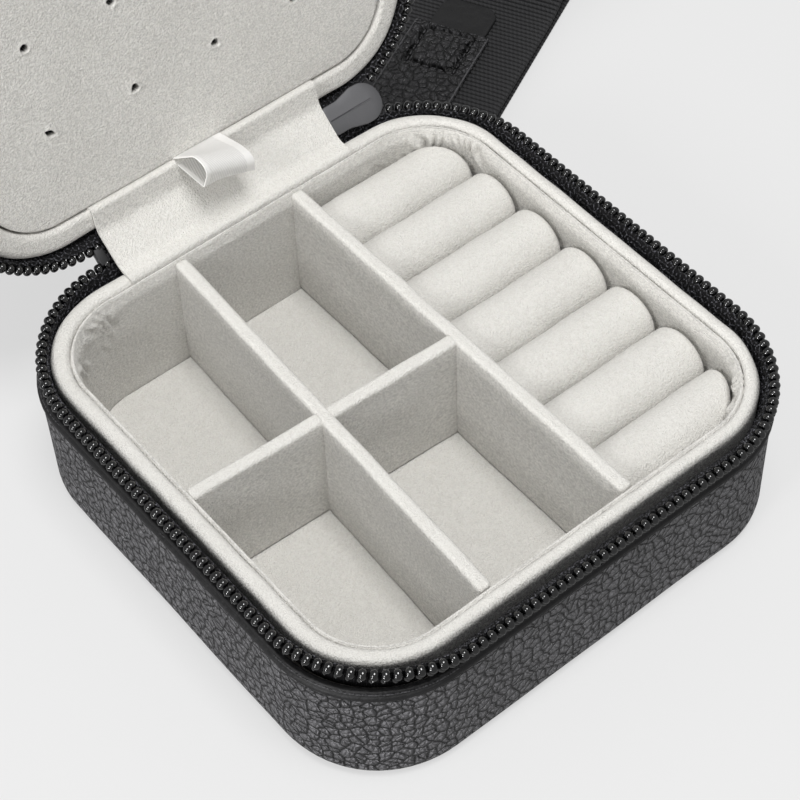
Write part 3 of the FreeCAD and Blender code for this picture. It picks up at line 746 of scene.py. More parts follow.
def velvet_finish():
    """Off-white velvet: short fuzz whose tips catch the light, and a little darker where the pile lies over.
    Upright faces get painted shade in a noise pattern, as grazing light would give. Painted shade that the
    mesh marks ends raggedly, as it does among fibres."""
    pile = sizes().pile
    constants = {"Specular IOR Level": 0.1, "Sheen Weight": 0.2, "Sheen Roughness": 0.5}
    finish = Finish("white_velvet_pile", constants)
    at = finish.place()
    fuzz = finish.noise(at, pile, 2.0)
    fleck = finish.noise(at, 2.4 * pile, 2.0)
    lie = finish.ramp(0.6 * fuzz + 0.25 * fleck + 0.15 * finish.noise(at, 40 * pile, 2.0), 0.35, 0.6)
    lit = finish.ramp(finish.lit() + 0.4 * (fuzz - 0.5), 0.1, 0.85)
    pale = finish.mix(solid(colours().velvet_shade), solid(colours().velvet), lie)
    nap = finish.ramp(finish.noise(finish.stretched(at, 1.0, 1.0, 1.7), 1.6 * pile, 3.0), 0.33, 0.67)
    # Painted shade on upright faces, in a noise pattern.
    lit = lit * (1 - 0.3 * finish.marked("upright") * (1 - nap))
    finish.give(base_color=finish.mix(solid(colours().crease), pale, lit), roughness=0.9 + 0.1 * fuzz)
    finish.bump(0.75 * fuzz + 0.25 * fleck, 0.6 * MM, 0.9)
    return finish.material


def nylon_finish():
    """Glossy black nylon with a faint drawn grain."""
    finish = Finish("black_nylon", {"Specular IOR Level": 0.85})
    drawn = finish.noise(finish.place(), 0.5 * MM, 3.0)
    finish.give(base_color=finish.tint(colours().nylon, 0.5, 1.2, drawn),
                roughness=0.05 + 0.05 * drawn)
    return finish.material


def tape_finish():
    """Black woven tape: rows of slanting knots, with painted highlights where a thread comes up."""
    finish = Finish("woven_tape", {"Specular IOR Level": 0.2})
    across, along = finish.surface()
    rows, columns = along * (2 * math.pi / (0.9 * MM)), across * (2 * math.pi / (0.8 * MM))
    knot = (columns + rows).sine() * (columns - rows).sine()
    fleck = finish.noise(finish.place(), 0.45 * MM, 2.0)
    thread = finish.ramp(0.22 * knot + fleck, 0.6, 0.8)
    # Painted highlights: flecks up to ten times paler than the tape.
    finish.give(base_color=finish.tint(colours().tape, 1.0, 10.0, thread),
                roughness=0.65 + 0.2 * fleck)
    finish.bump(thread, 0.25 * MM, 0.9)
    return finish.material


def metal_finish(name, share):
    """Satin gunmetal: fine blasted grain, soft clouding and a few pale specks."""
    finish = Finish(name, {"Specular IOR Level": 0.5})
    at = finish.place()
    blast = finish.noise(at, 0.12 * MM, 3.0)
    cloud = finish.noise(at, 5 * MM, 2.0)
    speck = finish.ramp(finish.noise(at, 0.5 * MM, 1.0), 0.72, 0.78)
    tone = 0.5 * blast + 0.4 * cloud + 0.5 * speck
    finish.give(base_color=finish.tint(colours().metal, 0.75 * share, 1.25 * share, tone),
                metallic=0.35 + 0.2 * cloud, roughness=0.42 + 0.16 * blast)
    finish.bump(blast, 0.02 * MM, 0.4)
    return finish.material


def ribbon_finish():
    """Satin with fine slanting ribs and a smooth edge along each side."""
    finish = Finish("ribbed_satin", {"Specular IOR Level": 0.8, "Sheen Weight": 0.2})
    across, along = finish.surface()
    half = (RIBBON.high[0] - RIBBON.low[0]) / 2
    edge = finish.ramp((across - half).size(), half - 1.0 * MM, half - 0.75 * MM)
    rib = ((across + 0.35 * along) * (2 * math.pi / sizes().ribbon_rib)).sine() * 0.5 + 0.5
    slub = finish.noise(finish.place(), 0.8 * MM, 3.0)
    tone = (0.6 * rib + 0.4 * slub) * (1 - edge) + edge
    finish.give(base_color=finish.tint(colours().ribbon, 0.8, 1.05, tone),
                roughness=0.24 + 0.16 * slub)
    finish.bump(rib * (1 - edge) + 1.5 * edge, 0.07 * MM, 0.6)
    return finish.material


def webbing_finish():
    """Black webbing: slanting threads on each rib, and painted shade between the ribs."""
    pitch = sizes().rib_pitch
    finish = Finish("ribbed_webbing", {"Specular IOR Level": 0.3})
    across, along = finish.surface()
    threads = (across * (2 * math.pi / (0.95 * MM)) + along * (math.pi / pitch)).sine() * 0.5 + 0.5
    fibre = finish.noise(finish.place(), 0.3 * MM, 4.0)
    # The mesh's painted shade darkens the webbing between its ribs.
    tone = (0.2 * threads + 0.6 * fibre + 0.3) * (0.12 + 0.88 * finish.lit())
    finish.give(base_color=finish.tint(colours().webbing, 0.15, 2.4, tone),
                roughness=0.6 + 0.2 * fibre)
    finish.bump(0.4 * threads + 0.5 * fibre, 0.16 * MM, 0.8)
    return finish.material


def thread_finish(name, dark, pale, low=0.35, high=0.65):
    """Thread: plies twisted together, paler where a noise is high."""
    finish = Finish(name, {"Specular IOR Level": 0.35})
    ply = finish.noise(finish.place(), 0.35 * MM, 3.0)
    finish.give(base_color=finish.mix(dark, pale, finish.ramp(ply, low, high)), roughness=0.45 + 0.2 * ply)
    finish.bump(ply, 0.05 * MM, 0.6)
    return finish.material


def card_finish():
    """Grey card with short fibres."""
    finish = Finish("fibre_card", {"Specular IOR Level": 0.2})
    fibre = finish.noise(finish.place(), 0.7 * MM, 5.0)
    finish.give(base_color=finish.tint(colours().card, 0.75, 1.15, fibre),
                roughness=0.85 + 0.1 * fibre)
    finish.bump(fibre, 0.05 * MM, 0.5)
    return finish.material


def floor_finish():
    """Plain pale studio floor, lit a little from within so that shadows stay pale."""
    glow = bpy.context.scene.case_stage.glow
    finish = Finish("studio_floor", {"Specular IOR Level": 0.0, "Emission Strength": glow})
    tone = finish.noise(finish.place(), 400 * MM, 1.0)
    finish.give(base_color=finish.tint(colours().floor, 0.995, 1.0, tone),
                emission_color=finish.mix((0.99, 0.99, 0.99, 1), (1, 1, 1, 1), tone),
                roughness=0.95 + 0.05 * tone)
    return finish.material


FINISHES = {
    "pebbled_leather": leather_finish,
    "turned_leather": edge_finish,
    "white_velvet_pile": velvet_finish,
    "black_nylon": nylon_finish,
    "woven_tape": tape_finish,
    "satin_gunmetal": lambda: metal_finish("satin_gunmetal", 1.0),
    "dark_gunmetal": lambda: metal_finish("dark_gunmetal", 0.22),
    "ribbed_satin": ribbon_finish,
    "ribbed_webbing": webbing_finish,
    "black_thread": lambda: thread_finish("black_thread", solid(colours().crease),
                                          solid(colours().leather, 0.4)),
    # The knit's pale plies are painted highlights.
    "black_knit": lambda: thread_finish("black_knit", solid(colours().tape, 0.5),
                                        solid(colours().tape, 40), 0.48, 0.7),
    # A painted highlight along the tab's edges.
    "edge_paint": lambda: thread_finish("edge_paint", solid(colours().leather, 0.2),
                                        solid(colours().leather, 0.4)),
    "fibre_card": card_finish,
    "studio_floor": floor_finish,
}


def finish_named(name):
    """The material of this name, made when it is first asked for."""
    return bpy.data.materials.get(name) or FINISHES[name]()


# Leather

def sideways(points):
    """Directions away from the case's middle, all but level."""
    return unit(points * [1, 1, 0.001] + TOUCH)


def shell_grids(outside, wall_end, seed):
    """A leather shell: a profile from the flat side's middle round its edge, up the wall and back down
    inside. The wall swells and dips a little, as leather over card does."""
    foot, lip, swell = FOOT_SHARE * FOOT_ROUND, 0.3 * MM, 0.1 * MM
    flat = FOOT_ROUND + LEATHER
    inside = outside + math.copysign(LEATHER, wall_end - outside)
    line = rounded([(flat, outside), (0, outside), (0, wall_end), (LEATHER, wall_end), (LEATHER, inside),
                    (flat, inside)], [foot, lip, lip, foot - 0.5 * LEATHER])
    shell = swept(filled(line, 3 * MM), case_walk())
    shell = shell + waver(shell, 26 * MM, seed)[..., None] * swell * sideways(shell)
    return closed(shell, 12)


def edge_grids(low, high):
    """The turned edge: a lip that rolls over the wall's end, a stitched slope above it and a flat back."""
    proud = EDGE.high[0] - HALF
    reach = (high - low) / 3
    line = rounded([(LEATHER, low + reach), (LEATHER, low), (-0.2 * proud, low),
                    (-1.5 * proud, low + 0.5 * reach), (-1.1 * proud, low + 1.5 * reach),
                    (0.5 * proud, low + 1.9 * reach), (0.6 * proud, high), (LEATHER, high),
                    (LEATHER, low + reach)],
                   [0.1 * MM, 0.3 * MM, 0.4 * MM, 0.5 * MM, 0.25 * MM, 0.4 * MM, 0.1 * MM])
    return [swept(line, case_walk())]


def edge_stitches(low, high):
    """Places and directions of the stitches along the turned edge's slope."""
    centres, outward, radius = case_walk(1 * MM, 40)
    slope = low + 0.8 * (high - low)
    line = centres + (radius - 0.1 * MM) * outward
    count = int(walked(line)[-1] / sizes().stitch_step)
    spots = even(np.column_stack([line, np.full(len(line), slope), outward]), count + 1)[:-1]
    along = heading(spots[:, :3])
    out = np.column_stack([spots[:, 3:], np.zeros(count)])
    return spots[:, :3], np.stack([along, out, np.cross(along, out)], axis=1)


def make_leather():
    base = shell_grids(WALL.low[2], WALL.high[2] + PEBBLE_RISE, 3)
    lid = shell_grids(LID_WALL.high[2], LID_WALL.low[2] - PEBBLE_RISE, 4)
    for body, shell in (("base", base), ("lid", [opened(grid) for grid in lid])):
        name = "pebbled_%s_shell" % body
        built(name, shell, "pebbled_leather", body, [body + "_leather"])
    low, high = EDGE.low[2] + PEBBLE_RISE, EDGE.high[2]
    edge, stitches = edge_grids(low, high), edge_stitches(low, high)
    thread = [stitch_shape(0.66 * sizes().stitch_step, STITCH_RADIUS)]
    for body in ("base", "lid"):
        if body == "lid":
            edge, stitches = turn_over(edge), lid_frames(*stitches)
        name = "turned_%s_edge" % body
        built(name, edge, "turned_leather", body, [body + "_leather_edge"])
        repeated(body + "_edge_stitches", thread, stitches, "black_thread", body)


# Velvet tray

def soften(grid, size, seed, share=1.0):
    """A grid moved a little along its normals by a smooth unevenness, as cloth over board. Both sides of a
    closed seam move alike, and an end row that is one point moves as one."""
    normals = normals_of(grid)
    if np.abs(grid[:, 0] - grid[:, -1]).max() < TOUCH:
        normals[:, [0, -1]] = unit(normals[:, [0]] + normals[:, [-1]])
    for end, beside in ((0, 1), (-1, -2)):
        if np.ptp(grid[end], axis=0).max() < TOUCH:
            normals[end] = unit(normals[beside].mean(axis=0))
    return grid + normals * (waver(grid, size, seed) * share * sizes().softness)[..., None]


def ring_grids(line, seed, shift=(0, 0), share=1.0, step=4 * MM, corner_steps=24):
    """A closed velvet wall: its section carried round the case. From the rim's outer side to the liner,
    points take on more and more of the shift."""
    line = filled(line, step)
    grid = swept(line, case_walk(1.5 * MM, corner_steps))
    taken = np.clip((line[:, 0] - RIM_INSET) / (LINER_INSET - RIM_INSET), 0, 1)
    grid[..., :2] += taken[:, None, None] * np.array(shift)
    return [soften(grid, 8 * MM, seed, share)]


def rim_section(outer, inner, low, high, outer_round, inner_round):
    """A rim's section between two insets, its top rounded on both sides."""
    middle = (outer + inner) / 2
    return rounded([(middle, low), (outer, low), (outer, high), (inner, high), (inner, low), (middle, low)],
                   [0.2 * MM, outer_round, inner_round, 0.2 * MM], 8)


def liner_section():
    """The liner's section: cloth that rises beside the rim, rolls over and slopes down to its upright inner
    face."""
    outer, inner, low, high = LINER_INSET, TRAY_INSET, LINER.low[2], LINER.high[2]
    middle = (outer + inner) / 2
    return rounded([(middle, low), (outer, low), (outer, high), (middle, high), (inner, high - 2.2 * MM),
                    (inner, low), (middle, low)],
                   [0.2 * MM, 0.66 * MM, 0.5 * MM, 3 * MM, 0.2 * MM], 8)


def slot_shade(grids):
    """Painted shade for a rim's outer side, which faces the dark slot by the tape, and for the seam on its
    inner side: most below. On top it grows from the rim's middle outwards."""
    most_below, most_on_top, most_in_seam = 0.74, 0.62, 0.12
    middle, half = (RIM_INSET + LINER_INSET) / 2, (LINER_INSET - RIM_INSET) / 2
    shades = []
    for grid in grids:
        past = np.maximum(np.abs(grid[..., :2]) - (HALF - CORNER), 0)
        outside = np.hypot(past[..., 0], past[..., 1]) - CORNER + middle
        depth = RIM_TOP - grid[..., 2]
        # Painted shade: deepest down the outer side, growing across the top's outer half, faint in the inner
        # seam.
        below = most_below * smoothstep((depth - 0.04 * MM) / (1.15 * MM))
        on_top = most_on_top * smoothstep(outside / half - 0.1)
        seam = most_in_seam * smoothstep((depth - 0.3 * MM) / (0.9 * MM))
        shades.append(np.where(outside > 0, np.maximum(below, on_top), seam))
    return shades


def puckered(grid):
    """The liner with gathers in its corners: ripples along the corner, fading down from under the top."""
    ripples, sway = 190, 5          # ripples to a radian, and how far they wander
    corner = np.minimum(np.abs(grid[..., 0]), np.abs(grid[..., 1])) - (HALF - CORNER)
    gather = smoothstep((corner + 6 * MM) / (7 * MM))
    bearing = np.arctan2(grid[..., 1], grid[..., 0])
    depth = (LINER.high[2] - grid[..., 2]) / MM
    fade = smoothstep(depth / 2.2) * (1 - 0.7 * smoothstep((depth - 5) / 9))
    ripple = np.sin(ripples * bearing + 0.3 * depth + sway * waver(grid, 6 * MM, 21))
    ripple = ripple * waver(grid, 8 * MM, 22)
    inner = np.abs(grid[..., :2]).max(axis=-1) < HALF - LINER_INSET - 0.7 * MM
    push = np.where(inner, gather * fade * ripple, 0)
    return grid - sideways(grid) * (push * sizes().pucker)[..., None]


def floor_grids():
    """The floor pad: a flat sheet with a small turned-down edge."""
    inset = TRAY_INSET + 0.05 * MM
    low, high = FLOOR.low[2], FLOOR.high[2]
    line = rounded([(inset, low), (inset, high), (0.95 * CORNER, high)], [0.4 * MM])
    sheet = swept(filled(line, 2 * MM), case_walk())
    sheet[..., :2] += INSERT_SHIFT
    grids = [sheet, cap(sheet[-1], 14), cap(sheet[0], 2)]
    for grid in grids:
        grid[..., 2] += 0.6 * waver(grid, 14 * MM, 31) * sizes().softness
    return grids


def board_frame(node):
    """Middle, direction and half sizes of a standing board, from the spread of its corner points in plan."""
    points = node_points(node)
    flat = points[:, :2] - (points[:, :2].max(axis=0) + points[:, :2].min(axis=0)) / 2
    along = np.linalg.eigh(flat.T @ flat)[1][:, 1]
    across = across_of(along)
    reach = np.stack([points[:, :2] @ along, points[:, :2] @ across], axis=-1)
    middle = (reach.max(axis=0) + reach.min(axis=0)) / 2
    half = (reach.max(axis=0) - reach.min(axis=0)) / 2
    return middle @ np.stack([along, across]), along, half


def board_grids(node, seed):
    """A velvet-wrapped board: a profile with a small round carried round its narrow plan, with top and foot
    filled in to the middle line. Its ends and foot reach a little into what they stand against."""
    middle, along, half = board_frame(node)
    span = Span(node)
    reach, wide, radius = half[0] + BOARD_TUCK, half[1], BOARD_ROUND
    foot = span.low[2] - BOARD_SINK
    line = rounded([(radius, foot), (0, foot), (0, span.high[2]), (radius, span.high[2])],
                   [0.9 * radius, 0.95 * radius], 8)
    grid = swept(filled(line, 0.6 * MM), walk_round(-reach, reach, -wide, wide, radius, 1.5 * MM, 8))
    spine = np.clip(grid[[0, -1], :, :1], wide - reach, reach - wide) * [1, 0, 0] + grid[[0, -1]] * [0, 0, 1]
    grids = [grid, cap_to(grid[0], spine[0]), cap_to(grid[-1], spine[1])]
    turn = np.array([[along[0], along[1], 0], [-along[1], along[0], 0], [0, 0, 1]])
    grids = [part @ turn + np.append(middle, 0) for part in grids]
    for part in grids:
        rise = smoothstep(part[..., 2] / span.high[2])
        part[..., 2] += waver(part, 19 * MM, seed) * rise * sizes().softness
        part[..., :2] += waver(part, 11 * MM, seed + 50)[..., None] * across_of(along) * sizes().softness
    return grids


def foot_shade(grids):
    """Painted shade in the joint round a board's foot: full at the floor, none a little above it."""
    darkest, reach = 0.9, 0.75 * MM
    return [darkest * (1 - smoothstep((grid[..., 2] - FLOOR.high[2]) / reach)) for grid in grids]


def make_tray():
    section = rim_section(RIM_INSET, LINER_INSET, RIM.low[2], RIM_TOP, *RIM_ROUNDS)
    rim = ring_grids(section, 11, INSERT_SHIFT)
    velvet("velvet_base_rim", rim, "base_velvet_rim", shades=slot_shade(rim))
    liner = ring_grids(liner_section(), 12, INSERT_SHIFT, share=0.5, step=0.8 * MM, corner_steps=72)
    velvet("velvet_tray_liner", [puckered(grid) for grid in liner], "base_liner")
    floor = velvet("velvet_tray_floor", floor_grids(), "floor_pad")


def make_dividers():
    for seed, node in enumerate(DIVIDERS, 40):
        board = board_grids(node, seed)
        velvet("velvet_" + node, board, node, shades=foot_shade(board))


# Ring rolls

def roll_grids(node, seed):
    """A plump roll: oval sections along +X that close in a short dome. At a share u of the dome's length the
    section is (1 - u^p)^(1/p) of its full size. Its far end is drawn back where the tray's corner is
    round."""
    span, power, clear, press = Span(node), 2.6, 0.1 * MM, 0.1 * MM
    start, end = span.low[0] - BOARD_TUCK, HALF - TRAY_INSET + INSERT_SHIFT[0] - clear
    body = np.linspace(start, end - ROLL_DOME, 24)
    tip = end - ROLL_DOME + ROLL_DOME * np.sin(np.linspace(0, math.pi / 2, 17)[1:])
    x = np.concatenate([body, tip])
    size = (1 - np.clip((x - end + ROLL_DOME) / ROLL_DOME, 0, 1) ** power) ** (1 / power)
    turn = np.linspace(0, 2 * math.pi, 65)
    pitch = (BED.high[1] - BED.low[1]) / ROLLS
    middle_y = (BED.high[1] + BED.low[1]) / 2 + pitch * round((span.low[1] + span.high[1]) / 2 / pitch)
    y = middle_y + np.outer(size, np.cos(turn)) * (pitch + press) / 2
    z = (span.low[2] + span.high[2]) / 2 + np.outer(size, np.sin(turn)) * (span.high[2] - span.low[2]) / 2
    corner = CORNER - TRAY_INSET - clear
    past = np.clip(np.abs(y) - (HALF - CORNER), 0, corner)
    room = HALF - CORNER + INSERT_SHIFT[0] + np.sqrt(corner ** 2 - past ** 2) - start
    drawn = start + (x[:, None] - start) * np.minimum(1, room / (end - start))
    grid = soften(np.stack([drawn, y, z], axis=-1), 10 * MM, seed, 1.2)
    return [grid, cap(grid[0], 3)]


def bed_grids():
    """The foam block under the rolls: a plain pad whose far corners follow the tray's."""
    profile = rounded([(0, BED.low[2]), (0, BED.high[2]), (0.3 * MM, BED.high[2])], [0.2 * MM])
    radius = CORNER - TRAY_INSET - 0.25 * MM
    walk = walk_round(BED.low[0] - CORNER, BED.high[0], BED.low[1], BED.high[1], radius)
    grid = swept(profile, walk)
    grid[..., 0] = np.maximum(grid[..., 0], BED.low[0])
    return closed(grid, 3)


def make_rolls():
    bed = velvet("foam_roll_bed", bed_grids(), "ring_bed")
    for number in range(1, ROLLS + 1):
        node = "ring_roll_%d" % number
        roll = velvet("velvet_" + node, roll_grids(node, 60 + number), node)


# Zip

def zip_line(share, count, ends):
    """Points along the zip from its right end by the hinge, round the case, to its left end. Share 0 is the
    tape's glued foot and 1 the coil. Height goes straight from one to the other; size, corner radius and the
    tape's lean go with the share squared, so that the tape stands up beside the rim and then flares."""
    flare = max(share, 0) ** 2
    left, right, front = [TAPE_FOOT + (COIL_SIDE + lean - TAPE_FOOT) * flare for lean in TAPE_LEAN[:3]]
    back = TAPE_FOOT + (COIL_BACK + TAPE_LEAN[3] - TAPE_FOOT) * flare
    foot_round = CORNER - HALF + TAPE_FOOT
    radius = foot_round + (COIL_ROUND - foot_round) * flare
    centres, outward, _ = walk_round(-left, right, -front, back, radius, 1 * MM, 60)
    line = centres + radius * outward
    along = walked(line)
    turn = np.flatnonzero(line[:, 0] > right - TOUCH)[0]
    end = np.flatnonzero(line[:, 0] < -left + TOUCH)[-1]
    first = np.interp(ends[0], line[:turn + 1, 0], along[:turn + 1])
    last = np.interp(ends[1], line[end:, 0], along[end:])
    spots = np.linspace(first, last, count)
    height = TAPE.low[2] + (COIL_Z - TAPE.low[2]) * share
    return np.column_stack([at_lengths(line, spots), np.full(count, height)])


def zip_frames(share, count, ends):
    """Places on the zip at a share, with the directions along it, out of the tape and up the tape."""
    places = zip_line(share, count, ends)
    along = heading(places)
    up = unit(places - zip_line(share - 0.2, count, ends))
    out = unit(np.cross(up, along))
    return places, np.stack([along, out, np.cross(along, out)], axis=1)


def tape_grids():
    """The woven tape from its foot to just behind the teeth's heads, on their inner side, with a slight
    ripple."""
    ripple = 0.07 * MM
    out = zip_frames(1, ZIP_POINTS, TAPE_ENDS)[1][:, 1]
    tape = np.stack([zip_line(share, ZIP_POINTS, TAPE_ENDS) - out * TAPE_BEHIND * share ** 2
                     for share in np.linspace(0, TAPE_TOP, 12)])
    tape = tape + normals_of(tape) * (waver(tape, 13 * MM, 71) * ripple)[..., None]
    return slab(tape, TAPE_THICK)


def knit_places():
    """Loops of the tape's knit on its inner face: rows of short threads that slant to and fro."""
    count = int(walked(zip_line(1, ZIP_POINTS, TAPE_ENDS))[-1] / sizes().knit_step)
    tilt, proud = 0.75, 0.22 * MM
    slant = np.where(np.arange(count) % 2, tilt, -tilt)[:, None]
    places, frames = [], []
    for row, share in enumerate(KNIT_SHARES):
        spots, turned = zip_frames(share, count, TAPE_ENDS)
        along, out, up = turned[:, 0], turned[:, 1], turned[:, 2]
        slope = slant * (1 if row % 2 else -1) + waver(spots, 1.1 * MM, 72 + row)[:, None]
        lean = along * np.cos(slope) + up * np.sin(slope)
        places.append(spots - out * (TAPE_BEHIND * share ** 2 + proud))
        frames.append(np.stack([lean, out, np.cross(lean, out)], axis=1))
    return np.concatenate(places), np.concatenate(frames)


def lid_frames(places, frames):
    """Places and directions mirrored into the lid and opened with it."""
    tips = turn_over([places + frames[:, k] * MM for k in range(3)])
    spots = turn_over([places])[0]
    return spots, np.stack([(tip - spots) / MM for tip in tips], axis=1)


def make_zip():
    count = int(walked(zip_line(1, ZIP_POINTS, TEETH_ENDS))[-1] / sizes().tooth_pitch)
    teeth, knit, tape = zip_frames(1, count, TEETH_ENDS), knit_places(), tape_grids()
    loop = [stitch_shape(1.2 * sizes().knit_step, KNIT_RADIUS)]
    for body in ("base", "lid"):
        if body == "lid":
            teeth, knit, tape = lid_frames(*teeth), lid_frames(*knit), turn_over(tape)
        built(body + "_woven_tape", tape, "woven_tape", body, [body + "_zip_tape"])
        name, nodes = body + "_zip_teeth", [body + "_zip_coil"]
        repeated(name, tooth_shapes(), teeth, "black_nylon", body, nodes)
        repeated(body + "_tape_knit", loop, knit, "black_knit", body)


# Slider, pull and stop

def on_slider(points):
    """Points drawn along the slider, across it and outwards, set on the zip between the two tapes."""
    cos, sin = math.cos(SLIDER_TILT), math.sin(SLIDER_TILT)
    y, z = points[..., 1], points[..., 2]
    x = SLIDER.low[0] + points[..., 0]
    return np.stack([x, HINGE_Y + y * cos - z * sin, HINGE_Z + y * sin + z * cos], axis=-1)


def slider_sizes():
    """The slider's length, half widths of its tail and nose, and length of its tail."""
    points = node_points("zip_slider")
    y, z = points[:, 1] - HINGE_Y, points[:, 2] - HINGE_Z
    across = y * math.cos(SLIDER_TILT) + z * math.sin(SLIDER_TILT)
    tail = across[points[:, 0] < SLIDER.low[0] + 10 * TOUCH].max()
    neck = points[np.abs(across - tail) < 10 * TOUCH, 0].max() - SLIDER.low[0]
    return SLIDER.high[0] - SLIDER.low[0], tail, across.max(), neck


def slider_plate(low, high):
    """One plate: its outline drawn in towards a middle line. The top has two flat facets that rise to a
    fine crease along the middle, and a rounded rim."""
    reach, tail, nose, neck = slider_sizes()
    shoulder = reach - 1.3 * nose
    half = [(0, -tail), (neck, -tail), (shoulder, -nose), (reach, -nose)]
    outline = [(0, 0)] + half + [(x, -y) for x, y in reversed(half)] + [(0, 0)]
    bends = [0.9 * MM, 4 * MM, 2 * MM, 0.96 * nose]
    ring = filled(rounded(outline, bends + bends[::-1], 10), 0.5 * MM)
    spine = np.column_stack([np.clip(ring[:, 0], 0.5 * MM, reach - 0.6 * nose), np.zeros(len(ring))])
    share = np.array([0, 0.5, 0.94, 1, 1, 0.985, 0.95, 0.5, 0.05, 0.025, 0])
    rise = np.array([0, 0, 0, 0.15, 0.8, 0.95, 1, 1.14, 1.26, 1.1, 1.05])
    flat = spine + (ring - spine) * share[:, None, None]
    return on_slider(raised(flat, (low + (high - low) * rise)[:, None, None]))


def slider_post():
    """The post that joins the plates and parts the zip."""
    reach = SLIDER.high[0] - SLIDER.low[0]
    walk = walk_round(reach / 2 - 2 * MM, reach / 2 + 2 * MM, -1.1 * MM, 1.1 * MM, 1 * MM, 1 * MM, 6)
    post = on_slider(swept(np.array([(0, -0.6 * MM), (0, 0.6 * MM)]), walk))
    return closed(post, 2)


def softened_copy(node, name, finish, body):
    """A copy of a small metal node with its edges rounded over, in place of the node."""
    mesh = frame["nodes"][node].data.copy()
    mesh.name = name
    mesh.materials.clear()
    work = bmesh.new()
    work.from_mesh(mesh)
    bmesh.ops.remove_doubles(work, verts=work.verts, dist=TOUCH)
    bmesh.ops.dissolve_limit(work, angle_limit=math.radians(2), verts=work.verts, edges=work.edges)
    work.to_mesh(mesh)
    work.free()
    mesh.shade_smooth()
    piece = placed(name, mesh, finish, body, [node])
    bevel = piece.modifiers.new("rounded_edges", "BEVEL")
    bevel.width = 0.22 * MM
    bevel.segments = 3
    bevel.angle_limit = math.radians(35)
    return piece


def make_slider():
    far = SLIDER_GAP + SLIDER_PLATE
    grids = [slider_plate(SLIDER_GAP, far), slider_plate(-SLIDER_GAP, -far)] + slider_post()
    built("gunmetal_slider", grids, "satin_gunmetal", "base", ["zip_slider"])
    softened_copy("slider_crown", "gunmetal_crown", "satin_gunmetal", "base")
    softened_copy("zip_pull", "gunmetal_pull", "satin_gunmetal", "pull")
    softened_copy("zip_end_stop", "gunmetal_end_stop", "dark_gunmetal", "base")


# Hinge strip and spine

def strip_line():
    """The strip's middle line in (y, z): out of the seam inside the base's rim, level over the rim, up across
    the gap, along the lid's rim and into the gap beside the panel."""
    seat = RIM_TOP + STRIP_SEAT
    lid_seat = 2 * HINGE_Z - seat
    edge = RIM.high[1] - 0.1 * MM
    seam, gap = HALF - LINER_INSET + INSERT_SHIFT[1] + 0.05 * MM, HALF - LID_RIM_INNER - 0.12 * MM
    lid = opened(np.array([[0, edge, lid_seat], [0, gap, lid_seat], [0, gap, lid_seat + 2 * MM]]))[:, 1:]
    return rounded([(seam, seat - 1.6 * MM), (seam, seat), (edge, seat), *lid],
                   [0.7 * MM, 3 * MM, 3 * MM, 0.5 * MM], 10)


def spine_line():
    """The spine's middle line in (y, z): an arc that leaves the base's wall upright and meets the lid's."""
    start, wall = SPINE.low[2], HALF - LEATHER / 2
    radius = HINGE_Y - wall + (HINGE_Z - start) / math.tan(OPEN_ANGLE / 2)
    angle = math.pi - np.linspace(0, OPEN_ANGLE, 25)
    return np.column_stack([wall + radius + radius * np.cos(angle), start + radius * np.sin(angle)])


def across_hinge(line, left, right, columns):
    """A line in (y, z) carried along the hinge."""
    x = np.linspace(left, right, columns)
    return np.stack([np.broadcast_to(x, (len(line), columns)),
                     np.broadcast_to(line[:, :1], (len(line), columns)),
                     np.broadcast_to(line[:, 1:], (len(line), columns))], axis=-1)


def make_hinge():
    line, sway = filled(strip_line(), 0.8 * MM), 0.06 * MM
    grid = across_hinge(line, STRIP.low[0], STRIP.high[0], 60)
    grid = grid + normals_of(grid) * (waver(grid, 15 * MM, 81) * sway)[..., None]
    strip = velvet("velvet_hinge_strip", slab(grid, STRIP_THICK), "hinge_strip", body=None)
    lid_edge = opened(np.array([0, RIM.high[1], 2 * HINGE_Z - RIM_TOP]))
    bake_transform(strip)
    line = spine_line()
    grid = across_hinge(line, STOP.low[0] + 0.2 * MM, SPINE.high[0], 40)
    spine = built("leather_hinge_spine", slab(grid, LEATHER), "pebbled_leather",
                  nodes=["hinge_spine"])
    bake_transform(spine)


# Lid lining, earring panel and ribbon

def make_lid_rim():
    low = 2 * HINGE_Z - LID_RIM.high[2]
    rim = ring_grids(rim_section(RIM_INSET, LID_RIM_INNER, low, RIM_TOP, *LID_RIM_ROUNDS), 13)
    velvet("velvet_lid_rim", turn_over(rim), "lid_velvet_rim", "lid")


def panel_axis(half, holes):
    """Grid lines across the panel: close together at the rows of holes and at both edges."""
    near_hole, near_edge = 1.3 * MM, 1.2 * MM
    lines = [np.linspace(-half, half, 60)]
    lines += [np.linspace(hole - near_hole, hole + near_hole, 27) for hole in holes]
    lines += [side * (half - np.linspace(0, near_edge, 9)) for side in (-1, 1)]
    return np.unique(np.concatenate(lines).round(7))


def panel_holes():
    """Middles of the ear holes in the shut lid's plan, from the rims of the node's holes."""
    points = about_hinge(node_points("earring_panel"), OPEN_ANGLE)
    back = points[points[:, 2] > PANEL.high[2] - 10 * TOUCH, :2]
    inner = back[np.abs(back).max(axis=1) < PANEL.high[0] - 6 * MM]
    rows = []
    for axis in (0, 1):
        values = np.sort(inner[:, axis])
        groups = np.split(values, np.flatnonzero(np.diff(values) > 4 * MM) + 1)
        rows.append(np.array([(group.min() + group.max()) / 2 for group in groups]))
    return rows


